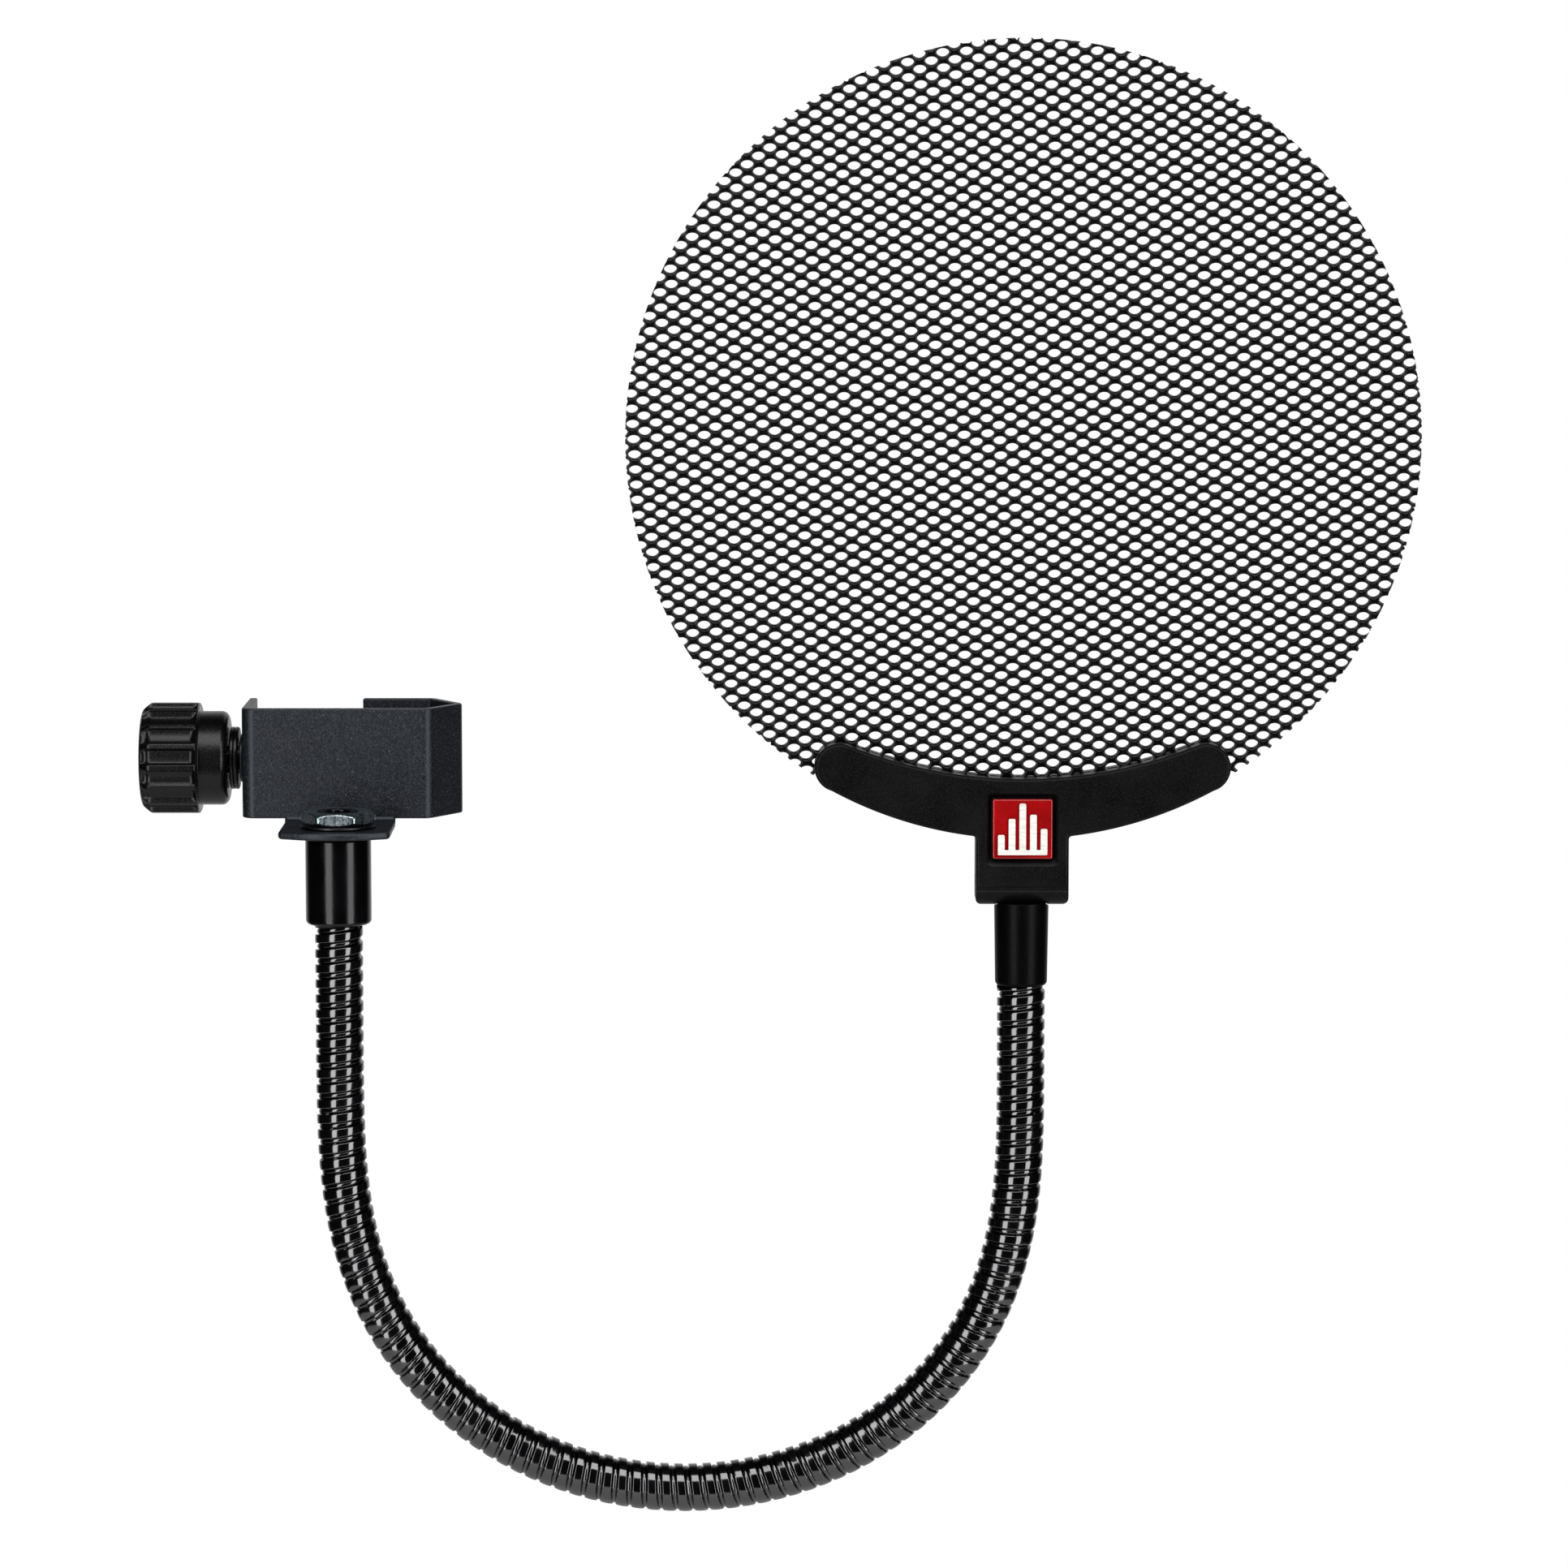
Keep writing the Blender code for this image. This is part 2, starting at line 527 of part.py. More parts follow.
def cut_hinge_room(yoke, name):
    """Cuts the slot for the post's eye, the pin's hole and the screen's slot, and rounds off the foot.

    In front of the eye a curved skirt is left, which comes round under the eye as far as the post's stem.
    """
    reach = EYE_RADIUS + GAP
    slot_half = EYE_HALF_WIDTH + SIDE_WASHER + 2 * GAP
    skirt = arc((0, 0), reach, SKIRT_END_ANGLE, 90, 16)
    slot = skirt + [(BARREL_RADIUS + 3 * MM, reach), (BARREL_RADIUS + 3 * MM, -BARREL_RADIUS - CUT_PAST)]
    slot += [(skirt[0][0], -BARREL_RADIUS - CUT_PAST)]
    cutter = add_cutter(f"{name}_slot", prism(slot, -slot_half, slot_half, "YZ"))
    cutter.location = HINGE
    combine(yoke, cutter)
    width = BLOCK_HALF_WIDTH + CUT_PAST
    pin_hole = add_cutter(f"{name}_pin_hole", turned(cylinder(PIN_RADIUS + GAP, 2 * width), 24))
    combine(yoke, place(pin_hole, HINGE - Vector((width, 0, 0)), (1, 0, 0)))
    corner = [(-BARREL_RADIUS - CUT_PAST, 0)] + arc((0, 0), BARREL_RADIUS, 180, 360, 20)
    corner += [(BARREL_RADIUS + CUT_PAST, 0), (BARREL_RADIUS + CUT_PAST, -BARREL_RADIUS - CUT_PAST),
               (-BARREL_RADIUS - CUT_PAST, -BARREL_RADIUS - CUT_PAST)]
    foot = add_cutter(f"{name}_foot", prism(corner, -width, width, "YZ"))
    foot.location = HINGE
    combine(yoke, foot)
    disc = turned(cylinder(CRESCENT_OUTER + 1 * MM, SCREEN_SLOT), 96)
    screen_slot = add_cutter(f"{name}_screen_slot", disc)
    combine(yoke, place(screen_slot, (HEAD_X, NECK_Y - SCREEN_SLOT / 2, SCREEN_Z), (0, 1, 0)))


def screw_places():
    """Where the yoke's screws cross the screen's middle plane."""
    for degrees in YOKE_SCREW_ANGLES:
        angle = math.radians(degrees)
        yield Vector((HEAD_X + YOKE_SCREW_RING * math.sin(angle), NECK_Y,
                      SCREEN_Z - YOKE_SCREW_RING * math.cos(angle)))


def yoke_front():
    yoke = yoke_blank("yoke_front", YOKE_FRONT_Y, NECK_Y - GAP / 2, (0.02, 0.02, 0.02), 0.6)
    cut_hinge_room(yoke, "yoke_front")
    pocket = prism(rounded_square((0, 0), BADGE_SIDE + 2 * GAP, 1.0 * MM), -CUT_PAST, POCKET_DEPTH, "XZ")
    pocket = add_cutter("badge_pocket", pocket)
    pocket.location = (HEAD_X, YOKE_FRONT_Y, HINGE.z + BADGE_RISE)
    combine(yoke, pocket)
    for number, where in enumerate(screw_places(), 1):
        hole = add_cutter(f"front_screw_hole_{number}", turned(cylinder(1.1 * MM + GAP, 3.4 * MM), 20))
        combine(yoke, place(hole, where, (0, -1, 0)))


def yoke_back():
    yoke = yoke_blank("yoke_back", NECK_Y + GAP / 2, YOKE_BACK_Y, (0.02, 0.02, 0.02), 0.6)
    cut_hinge_room(yoke, "yoke_back")
    thinned = turned(cylinder(CRESCENT_OUTER + 5 * MM, 5 * MM), 96)
    thinned = add_cutter("crescent_thinning", thinned)
    combine(yoke, place(thinned, (HEAD_X, CRESCENT_BACK_Y, SCREEN_Z + 5.2 * MM), (0, 1, 0)))
    for number, where in enumerate(screw_places(), 1):
        depth = CRESCENT_BACK_Y - NECK_Y
        seat = 2.3 * MM + GAP
        shank = 1.1 * MM + GAP
        profile = ((0, 0), (shank, 0), (shank, depth - 1.4 * MM), (seat, depth - 0.2 * MM),
                   (seat, depth + CUT_PAST), (0, depth + CUT_PAST))
        hole = add_cutter(f"back_screw_hole_{number}", turned(profile, 20))
        combine(yoke, place(hole, where, (0, 1, 0)))


def yoke_screws():
    """Countersunk screws from the back, through the screen and into the front half."""
    head = CRESCENT_BACK_Y - NECK_Y - 0.2 * MM
    for number, where in enumerate(screw_places(), 1):
        profile = ((0, -3.0 * MM), (0.8 * MM, -3.0 * MM), (1.1 * MM, -2.7 * MM),
                   (1.1 * MM, head - 1.2 * MM + GAP / 2), (2.2 * MM, head - GAP / 2), (2.2 * MM, head),
                   (0, head))
        screw = add_object(f"yoke_screw_{number}", turned(profile, 20), (0.3, 0.3, 0.3), 0.35, 1.0)
        place(screw, where, (0, 1, 0))


def hinge_pin():
    length = 2 * BLOCK_HALF_WIDTH - 2 * GAP
    chamfer = 0.3 * MM
    profile = ((0, 0), (PIN_RADIUS - chamfer, 0), (PIN_RADIUS, chamfer), (PIN_RADIUS, length - chamfer),
               (PIN_RADIUS - chamfer, length), (0, length))
    pin = add_object("hinge_pin", turned(profile, 24), (0.5, 0.5, 0.5), 0.3, 1.0)
    place(pin, HINGE - Vector((length / 2, 0, 0)), (1, 0, 0))


def hinge_washers():
    """Friction washers on the pin, at both sides of the post's eye."""
    bore = PIN_RADIUS + GAP
    outer = EYE_RADIUS - 0.2 * MM
    profile = ((bore, 0), (outer, 0), (outer, SIDE_WASHER), (bore, SIDE_WASHER))
    for name, side in (("hinge_washer_left", -1), ("hinge_washer_right", 1)):
        washer = add_object(name, turned(profile, 24), (0.05, 0.05, 0.05), 0.5)
        place(washer, HINGE + Vector((side * (EYE_HALF_WIDTH + GAP), 0, 0)), (side, 0, 0))


def badge():
    outline = rounded_square((0, 0), BADGE_SIDE, 0.7 * MM)
    front = YOKE_FRONT_Y + POCKET_DEPTH - GAP - BADGE_THICKNESS
    tile = add_object("badge", prism(outline, 0, BADGE_THICKNESS, "XZ"), (0.6, 0.02, 0.02), 0.2)
    tile.location = (HEAD_X, front, HINGE.z + BADGE_RISE)
    emblem = add_object("badge_emblem", prism(emblem_outline(), 0, EMBLEM_THICKNESS, "XZ"),
                        (0.85, 0.83, 0.8), 0.35)
    emblem.location = (HEAD_X, front - STACK_GAP / 2 - EMBLEM_THICKNESS, HINGE.z + BADGE_RISE)


def emblem_outline():
    """A level meter: a base strip with bars of different heights standing on it."""
    heights = (3.0, 6.2, 9.2, 7.0, 4.2)
    bar = 1.35 * MM
    pitch = 2.1 * MM
    foot = -5.1 * MM
    strip = 1.0 * MM
    edge = pitch * (len(heights) - 1) / 2 + bar / 2
    points = [(edge, foot), (-edge, foot)]
    for number, height in enumerate(heights):
        left = number * pitch - edge
        top = foot + strip + height * MM
        points += [(left, foot + strip), (left, top), (left + bar, top), (left + bar, foot + strip)]
    return points[:2] + points[3:-1]


def mesh_screen():
    """The screen as a plain disc with the three screw holes; its fine openings are left out here."""
    rim = turned(cylinder(SCREEN_RADIUS, SCREEN_THICKNESS), 96)
    screen = add_object("mesh_screen", rim, (0.01, 0.01, 0.01), 0.4, 0.5)
    place(screen, (HEAD_X, NECK_Y - SCREEN_THICKNESS / 2, SCREEN_Z), (0, 1, 0))
    for number, where in enumerate(screw_places(), 1):
        hole = add_cutter(f"screen_hole_{number}", turned(cylinder(1.1 * MM + GAP, 4 * MM), 20))
        combine(screen, place(hole, where - Vector((0, 2 * MM, 0)), (0, 1, 0)))


def main():
    for obj in list(bpy.data.objects):
        bpy.data.objects.remove(obj, do_unlink=True)
    clamp_bracket()
    threaded_bush()
    clamp_screw()
    pressure_pad()
    knob_spacer()
    clamp_knob()
    neck_nut()
    neck_washer()
    neck_base_ferrule()
    joints = np.linspace(0, NECK_LENGTH, NECK_SEGMENTS + 1)
    joints[0] = -SOCKET_DEPTH
    for number, (start, end) in enumerate(zip(joints, joints[1:]), 1):
        neck_segment(number, float(start), float(end))
    head_post()
    yoke_front()
    yoke_back()
    yoke_screws()
    hinge_pin()
    hinge_washers()
    badge()
    mesh_screen()


main()
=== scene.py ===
"""Looks of the gooseneck pop filter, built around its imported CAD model.

Metres, +Z up, in the CAD's frame: the stand tube's axis is the Z axis and the object's front faces -Y.
"""

import json
import math

import bmesh
import bpy
import numpy as np
from mathutils import Matrix, Vector

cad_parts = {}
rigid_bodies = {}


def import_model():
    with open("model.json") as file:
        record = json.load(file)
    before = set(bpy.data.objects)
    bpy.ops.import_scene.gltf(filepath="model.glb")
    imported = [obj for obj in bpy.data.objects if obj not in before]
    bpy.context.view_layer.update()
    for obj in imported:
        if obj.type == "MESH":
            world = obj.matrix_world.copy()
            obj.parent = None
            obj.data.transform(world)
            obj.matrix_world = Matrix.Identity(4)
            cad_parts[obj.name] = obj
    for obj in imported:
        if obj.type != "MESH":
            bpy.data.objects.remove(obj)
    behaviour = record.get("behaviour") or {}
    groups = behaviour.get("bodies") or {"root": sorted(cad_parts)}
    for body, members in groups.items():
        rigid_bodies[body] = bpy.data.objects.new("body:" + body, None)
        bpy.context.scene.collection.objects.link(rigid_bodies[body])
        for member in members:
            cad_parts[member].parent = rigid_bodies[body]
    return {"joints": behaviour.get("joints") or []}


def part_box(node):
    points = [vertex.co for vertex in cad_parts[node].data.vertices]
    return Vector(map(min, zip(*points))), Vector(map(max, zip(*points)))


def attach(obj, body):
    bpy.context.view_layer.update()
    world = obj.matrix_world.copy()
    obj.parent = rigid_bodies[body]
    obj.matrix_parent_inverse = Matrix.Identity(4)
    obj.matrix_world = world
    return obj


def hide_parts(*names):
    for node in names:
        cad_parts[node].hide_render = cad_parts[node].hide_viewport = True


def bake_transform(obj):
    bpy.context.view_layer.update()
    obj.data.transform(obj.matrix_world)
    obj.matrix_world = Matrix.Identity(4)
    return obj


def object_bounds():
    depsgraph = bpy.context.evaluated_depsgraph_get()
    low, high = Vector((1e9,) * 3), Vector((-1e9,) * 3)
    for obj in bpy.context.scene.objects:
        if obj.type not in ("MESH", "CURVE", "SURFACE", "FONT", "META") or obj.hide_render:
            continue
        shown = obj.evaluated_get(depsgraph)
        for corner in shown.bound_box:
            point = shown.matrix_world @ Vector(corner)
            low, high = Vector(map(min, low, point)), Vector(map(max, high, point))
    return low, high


for startup in list(bpy.data.objects):
    bpy.data.objects.remove(startup)
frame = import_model()
CAD_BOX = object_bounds()

MM = 0.001
GAP = 0.3 * MM
ROUND_STEPS = 5
MERGE_DISTANCE = 1e-7

# Camera, at the height and distance of a product shot
VIEW_DISTANCE = 1.2
VIEW_PITCH = math.radians(6.75)
VIEW_ANGLE = math.radians(14.68)
AIM = Vector((75.4, -21.5, -2.75)) * MM

# Clamp bracket
SHEET = 1.6 * MM
JAW_BEND_X = 4.9 * MM
BEND_RADIUS = 1.8 * MM
SHEET_EDGE = 0.35 * MM
TAB_EDGE = 0.6 * MM
TAB_HALF_WIDTH = 11.0 * MM
TAB_OFFSET = -0.4 * MM
TAB_CORNER = 1.5 * MM
TAB_NOSE_SAGITTA = 2.7 * MM
TAB_ROOT = 2.2 * MM

# Neck: a wide flat-topped winding with a thin round wire sunk between its turns
COIL_PITCH = 3.0 * MM
COIL_SIDES = 56
RIB_HALF_WIDTH = 0.86 * MM
RIB_ROUNDING = 0.18 * MM
WIRE_RADIUS = 0.66 * MM
WIRE_SINK = 0.42 * MM
NECK_BORE = 2.6 * MM

# Fasteners and turned parts
STUD_RADIUS = 4.0 * MM
SCREW_RADIUS = 3.0 * MM
SCREW_PITCH = 1.0 * MM
THREAD_DEPTH = 0.5 * MM
KNOB_FLUTES = 16

# Yoke
BARREL_RADIUS = 4.8 * MM
BLOCK_HALF_WIDTH = 9.15 * MM
EYE_RADIUS = 3.6 * MM
EYE_HALF_WIDTH = 3.7 * MM
STEM_FRONT = 1.3 * MM
SKIRT_END_ANGLE = 245
SADDLE_DROP = 4.25 * MM
PIN_RADIUS = 1.5 * MM
CRESCENT_OUTER = 78.5 * MM
CRESCENT_INNER = 92.0 * MM
CRESCENT_END_RADIUS = 4.8 * MM
CRESCENT_END_X = 36.1 * MM
CRESCENT_END_RISE = 22.7 * MM
SCREEN_SLOT = 1.5 * MM

# Screen: openings on a centred lattice, long way across
LONG_WAY = 4.62 * MM
SHORT_WAY = 2.98 * MM
SCREEN_TURN = math.radians(3.4)
SCREEN_DEPTH = 1.1 * MM
HOLE_HALF_WIDTH = 1.30 * MM
HOLE_HALF_HEIGHT = 0.93 * MM
HOLE_LEAN = 0.14 * MM
HOLE_ROUND_TOP = 2.1
HOLE_POINTED_FOOT = 1.6


# ---------------------------------------------------------------- places, from the frame

def middle(node):
    low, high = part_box(node)
    return (low + high) / 2


JOINTS = {joint["name"]: joint for joint in frame["joints"]}
NECK_FOOT = middle("neck_base_ferrule").xy.to_3d() + Vector((0, 0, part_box("neck_base_ferrule")[0].z))
HEAD_FOOT = middle("head_post").xy.to_3d() + Vector((0, 0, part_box("neck_segment_18")[1].z + GAP / 2))
NECK_RADIUS = (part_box("neck_segment_01")[1].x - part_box("neck_segment_01")[0].x) / 2
HINGE = Vector(JOINTS["head_tilt"]["pos_m"])
SCREEN = middle("mesh_screen")
SCREEN_RADIUS = (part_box("mesh_screen")[1].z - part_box("mesh_screen")[0].z) / 2


# ---------------------------------------------------------------- shapes

def rounded(corners, closed=True, steps=ROUND_STEPS):
    """A flat outline through (u, v, radius) corners, each one turned into an arc of that radius."""
    points = []
    for i, (u, v, radius) in enumerate(corners):
        here = Vector((u, v))
        if radius == 0 or (not closed and i in (0, len(corners) - 1)):
            points.append(here)
            continue
        before = (Vector(corners[i - 1][:2]) - here).normalized()
        after = (Vector(corners[(i + 1) % len(corners)][:2]) - here).normalized()
        half = before.angle(after) / 2
        centre = here + (before + after).normalized() * radius / math.sin(half)
        spoke = here + before * radius / math.tan(half) - centre
        turn = spoke.angle_signed(here + after * radius / math.tan(half) - centre)
        points += [centre + Matrix.Rotation(-turn * step / steps, 2) @ spoke for step in range(steps + 1)]
    return [tuple(point) for point in points]


def arc(centre, radius, start, end, steps):
    """Points on an arc, from one angle to another in degrees."""
    angles = np.radians(np.linspace(start, end, steps + 1))
    return [(centre[0] + radius * math.cos(a), centre[1] + radius * math.sin(a)) for a in angles]


def prism(outline, low, high, plane="XY"):
    """A flat outline in the named plane, extruded from low to high along the third axis."""
    order = {"XY": (0, 1, 2), "XZ": (0, 2, 1), "YZ": (2, 0, 1)}[plane]

    def spread(point, height):
        values = (*point, height)
        return Vector([values[i] for i in order])

    shape = bmesh.new()
    face = shape.faces.new([shape.verts.new(spread(point, low)) for point in outline])
    made = bmesh.ops.extrude_face_region(shape, geom=[face])["geom"]
    moved = [item for item in made if isinstance(item, bmesh.types.BMVert)]
    bmesh.ops.translate(shape, verts=moved, vec=spread((0, 0), high - low))
    return shape


def sheet_of(rows, wrap_rows=False, wrap_columns=True):
    """A surface through rows of equally many points."""
    rows = np.asarray(rows, float)
    count, width, _ = rows.shape
    index = np.arange(count * width).reshape(count, width)
    row = index if wrap_rows else index[:-1]
    following = np.roll(index, -1, axis=0) if wrap_rows else index[1:]
    if not wrap_columns:
        quads = np.stack([row[:, :-1], row[:, 1:], following[:, 1:], following[:, :-1]], axis=-1)
    else:
        quads = np.stack([row, np.roll(row, -1, 1), np.roll(following, -1, 1), following], axis=-1)
    shape = bmesh.new()
    points = [shape.verts.new(point) for point in rows.reshape(-1, 3)]
    for quad in quads.reshape(-1, 4):
        shape.faces.new([points[i] for i in quad])
    return shape


def turned(profile, sides=96, relief=None):
    """A solid turned about Z from (radius, height) points; relief(height, angle) is taken off the radius."""
    angles = np.linspace(0, 2 * math.pi, sides, endpoint=False)
    rows = []
    for radius, height in profile:
        reach = radius - (relief(height, angles) if relief and radius > 0 else 0)
        rows.append(np.stack([reach * np.cos(angles), reach * np.sin(angles), height + 0 * angles], axis=-1))
    shape = sheet_of(rows, wrap_rows=profile[0][0] > 0)
    bmesh.ops.remove_doubles(shape, verts=shape.verts, dist=MERGE_DISTANCE)
    bmesh.ops.holes_fill(shape, edges=[edge for edge in shape.edges if edge.is_boundary])
    return shape


def cylinder(radius, length):
    """The profile of a solid cylinder that stands on the origin."""
    return (0, 0), (radius, 0), (radius, length), (0, length)


def flat_ring(bore, outer, thickness, edge):
    """The profile of a flat ring with all four edges rounded."""
    return rounded(((bore, 0, edge), (outer, 0, edge), (outer, thickness, edge), (bore, thickness, edge)))


def add_object(name, shape, material, sharp=32):
    """A bmesh as an object, shaded smooth between its sharp edges."""
    bmesh.ops.recalc_face_normals(shape, faces=shape.faces)
    mesh = bpy.data.meshes.new(name)
    shape.to_mesh(mesh)
    shape.free()
    mesh.shade_smooth()
    mesh.set_sharp_from_angle(angle=math.radians(sharp))
    mesh.materials.append(material)
    obj = bpy.data.objects.new(name, mesh)
    bpy.context.scene.collection.objects.link(obj)
    return obj


def place(obj, location, axis=(0, 0, 1)):
    """Moves an object made about +Z so that it stands along axis at location, into its mesh."""
    turn = Vector((0, 0, 1)).rotation_difference(Vector(axis)).to_matrix().to_4x4()
    obj.data.transform(Matrix.Translation(location) @ turn)
    return obj


def bake_modifiers(obj, sharp=32):
    """Applies an object's modifiers to its mesh."""
    graph = bpy.context.evaluated_depsgraph_get()
    mesh = bpy.data.meshes.new_from_object(obj.evaluated_get(graph))
    obj.modifiers.clear()
    obj.data = mesh
    mesh.shade_smooth()
    mesh.set_sharp_from_angle(angle=math.radians(sharp))
    return obj


def even_shading(obj):
    """Lets the large faces set the shading, so that cuts leave no streaks in them."""
    modifier = obj.modifiers.new("even", "WEIGHTED_NORMAL")
    modifier.keep_sharp = True
    modifier.weight = 80
    graph = bpy.context.evaluated_depsgraph_get()
    mesh = bpy.data.meshes.new_from_object(obj.evaluated_get(graph))
    obj.modifiers.clear()
    obj.data = mesh
    return obj


def combine(obj, other, operation="DIFFERENCE"):
    """Cuts another object off this one, or joins it on, and removes the other."""
    modifier = obj.modifiers.new(other.name, "BOOLEAN")
    modifier.operation = operation
    modifier.solver = "EXACT"
    modifier.object = other
    bake_modifiers(obj)
    bpy.data.objects.remove(other)
    return obj


def cut(obj, shape, where=(0, 0, 0), axis=(0, 0, 1)):
    """Cuts a shape made about +Z, stood along axis, off an object of one material."""
    return combine(obj, place(add_object("cutter", shape, obj.data.materials[0]), where, axis))


def soften(obj, width, segments=3, angle=50):
    """Rounds an object's sharp edges."""
    bevel = obj.modifiers.new("softened", "BEVEL")
    bevel.width = width
    bevel.segments = segments
    bevel.limit_method = "ANGLE"
    bevel.angle_limit = math.radians(angle)
    bevel.use_clamp_overlap = True
    return bake_modifiers(obj)


def settle(obj, body, slot, *nodes):
    """Puts a finished piece on its CAD body and hides the CAD nodes it stands for. Its slot argument is not
    used.
    """
    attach(obj, body)
    if nodes:
        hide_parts(*nodes)
    return obj


# ---------------------------------------------------------------- materials

class Finish:
    """A Principled material with helpers that add procedural detail to it."""

    def __init__(self, name, colour, roughness, metallic=0.0, specular=0.5, coat=0.0):
        self.material = bpy.data.materials.new(name)
        self.material.use_nodes = True
        self.tree = self.material.node_tree
        self.shader = self.tree.nodes["Principled BSDF"]
        self.shader.inputs["Base Color"].default_value = (*colour, 1)
        self.shader.inputs["Roughness"].default_value = roughness
        self.shader.inputs["Metallic"].default_value = metallic
        self.shader.inputs["Specular IOR Level"].default_value = specular
        self.shader.inputs["Coat Weight"].default_value = coat
        self.place = self.add("ShaderNodeTexCoord").outputs["Object"]
        self.normal = None

    def add(self, kind, settings=None, **inputs):
        """A node with these settings and inputs. An input that is a socket is linked."""
        node = self.tree.nodes.new(kind)
        for key, value in (settings or {}).items():
            setattr(node, key, value)
        for key, value in inputs.items():
            socket = node.inputs[key.replace("_", " ").strip()]
            if isinstance(value, bpy.types.NodeSocket):
                self.tree.links.new(value, socket)
            else:
                socket.default_value = value
        return node

    def stretched(self, x, y, z):
        """The object's coordinates, scaled by a factor along each axis."""
        return self.add("ShaderNodeMapping", Vector=self.place, Scale=(x, y, z)).outputs["Vector"]

    def noise(self, scale, detail=3.0, vector=None):
        """Noise with this many waves per metre."""
        node = self.add("ShaderNodeTexNoise", Vector=vector or self.place, Scale=scale, Detail=detail)
        return node.outputs["Fac"]

    def specks(self, scale, share):
        """1 on a share of small random cells, 0 elsewhere."""
        cells = self.add("ShaderNodeTexVoronoi", Vector=self.place, Scale=scale)
        pick = self.add("ShaderNodeSeparateColor", Color=cells.outputs["Color"]).outputs["Red"]
        over = self.add("ShaderNodeMath", {"operation": "GREATER_THAN"})
        self.tree.links.new(pick, over.inputs[0])
        over.inputs[1].default_value = 1 - share
        return over.outputs[0]

    def spread(self, value, low, high, start=0.3, end=0.7):
        """A value from start to end, mapped to low to high."""
        node = self.add("ShaderNodeMapRange", Value=value, From_Min=start, From_Max=end,
                        To_Min=low, To_Max=high)
        return node.outputs["Result"]

    def colours(self, value, first, second, start=0.3, end=0.7):
        """The base colour goes from first to second as value goes from start to end."""
        factor = self.spread(value, 0.0, 1.0, start, end)
        node = self.add("ShaderNodeMix", {"data_type": "RGBA"})
        self.tree.links.new(factor, node.inputs[0])
        for socket, colour in ((node.inputs[6], first), (node.inputs[7], second)):
            if isinstance(colour, bpy.types.NodeSocket):
                self.tree.links.new(colour, socket)
            else:
                socket.default_value = (*colour, 1)
        self.tree.links.new(node.outputs[2], self.shader.inputs["Base Color"])
        return node.outputs[2]

    def rough(self, value, low, high, start=0.3, end=0.7):
        """The roughness goes from low to high as value goes from start to end."""
        self.tree.links.new(self.spread(value, low, high, start, end), self.shader.inputs["Roughness"])

    def bump(self, height, distance, strength=1.0):
        """Adds relief of this depth, in metres, on top of what is there."""
        node = self.add("ShaderNodeBump", Height=height, Distance=distance, Strength=strength)
        if self.normal:
            self.tree.links.new(self.normal, node.inputs["Normal"])
        self.normal = node.outputs["Normal"]
        self.tree.links.new(self.normal, self.shader.inputs["Normal"])


def bracket_coat():
    """Textured black powder coat with a blue-grey sheen, lighter grains, and scattered bright specks that are
    painted glints of its flakes.
    """
    finish = Finish("bracket_coat", (0.003, 0.003, 0.004), 0.45, specular=0.32)
    grain = finish.noise(3200, 2.0)
    patches = finish.noise(160, 3.0)
    ground = finish.colours(patches, (0.0015, 0.0016, 0.0022), (0.003, 0.0032, 0.0045))
    grains = finish.colours(grain, ground, (0.014, 0.0148, 0.018), 0.48, 0.72)
    # Scattered bright specks in the base colour: painted glints of the coat's flakes.
    finish.colours(finish.specks(6000, 0.003), grains, (0.06, 0.063, 0.07), 0.4, 0.6)
    finish.shader.inputs["Specular Tint"].default_value = (0.80, 0.88, 1.0, 1)
    finish.rough(grain, 0.36, 0.5)
    finish.bump(grain, 0.05 * MM, 0.8)
    finish.bump(finish.noise(900, 2.0), 0.04 * MM, 0.5)
    return finish.material


def black_gloss(name, roughness, specular, grain_depth):
    """Gloss black paint with faint orange peel and a few dull patches."""
    finish = Finish(name, (0.0006, 0.0006, 0.0008), roughness, specular=specular)
    peel = finish.noise(2400, 2.0)
    haze = finish.noise(140, 4.0)
    finish.colours(haze, (0.0004, 0.0004, 0.0005), (0.0010, 0.0010, 0.0014))
    finish.rough(haze, roughness * 0.8, roughness * 1.3)
    finish.bump(peel, grain_depth)
    return finish.material


def zinc():
    """Bright zinc plate: bluish, with fine mottling and drawn streaks down the flats."""
    finish = Finish("zinc", (0.5, 0.56, 0.6), 0.3, metallic=1.0)
    mottle = finish.noise(2600, 4.0)
    streaks = finish.noise(1500, 3.0, finish.stretched(1, 1, 0.12))
    ground = finish.colours(mottle, (0.08, 0.105, 0.12), (0.40, 0.47, 0.50), 0.36, 0.62)
    finish.colours(finish.noise(500, 2.0), ground, (0.20, 0.25, 0.26), 0.5, 0.9)
    finish.rough(streaks, 0.2, 0.42)
    finish.bump(mottle, 0.035 * MM)
    finish.bump(streaks, 0.02 * MM)
    return finish.material


def steel(name, colour, roughness):
    """Plain machined steel with turning marks and slight staining."""
    finish = Finish(name, colour, roughness, metallic=1.0)
    stain = finish.noise(300, 4.0)
    marks = finish.noise(4000, 2.0)
    darker = tuple(value * 0.6 for value in colour)
    finish.colours(stain, darker, colour)
    finish.rough(marks, roughness * 0.8, roughness * 1.4)
    finish.bump(marks, 0.012 * MM)
    return finish.material


def moulded_plastic(name, dark, light, roughness, specular, grain, depth):
    """Moulded black plastic with a spark-eroded grain, its albedo between dark and light."""
    finish = Finish(name, (dark,) * 3, roughness, specular=specular)
    fine = finish.noise(grain, 2.0)
    broad = finish.noise(120, 3.0)
    ground = finish.colours(broad, (dark,) * 3, ((dark + light) / 2,) * 3)
    finish.colours(fine, ground, (light,) * 3, 0.52, 0.75)
    finish.rough(fine, roughness * 0.85, roughness * 1.15)
    finish.bump(fine, depth)
    return finish.material


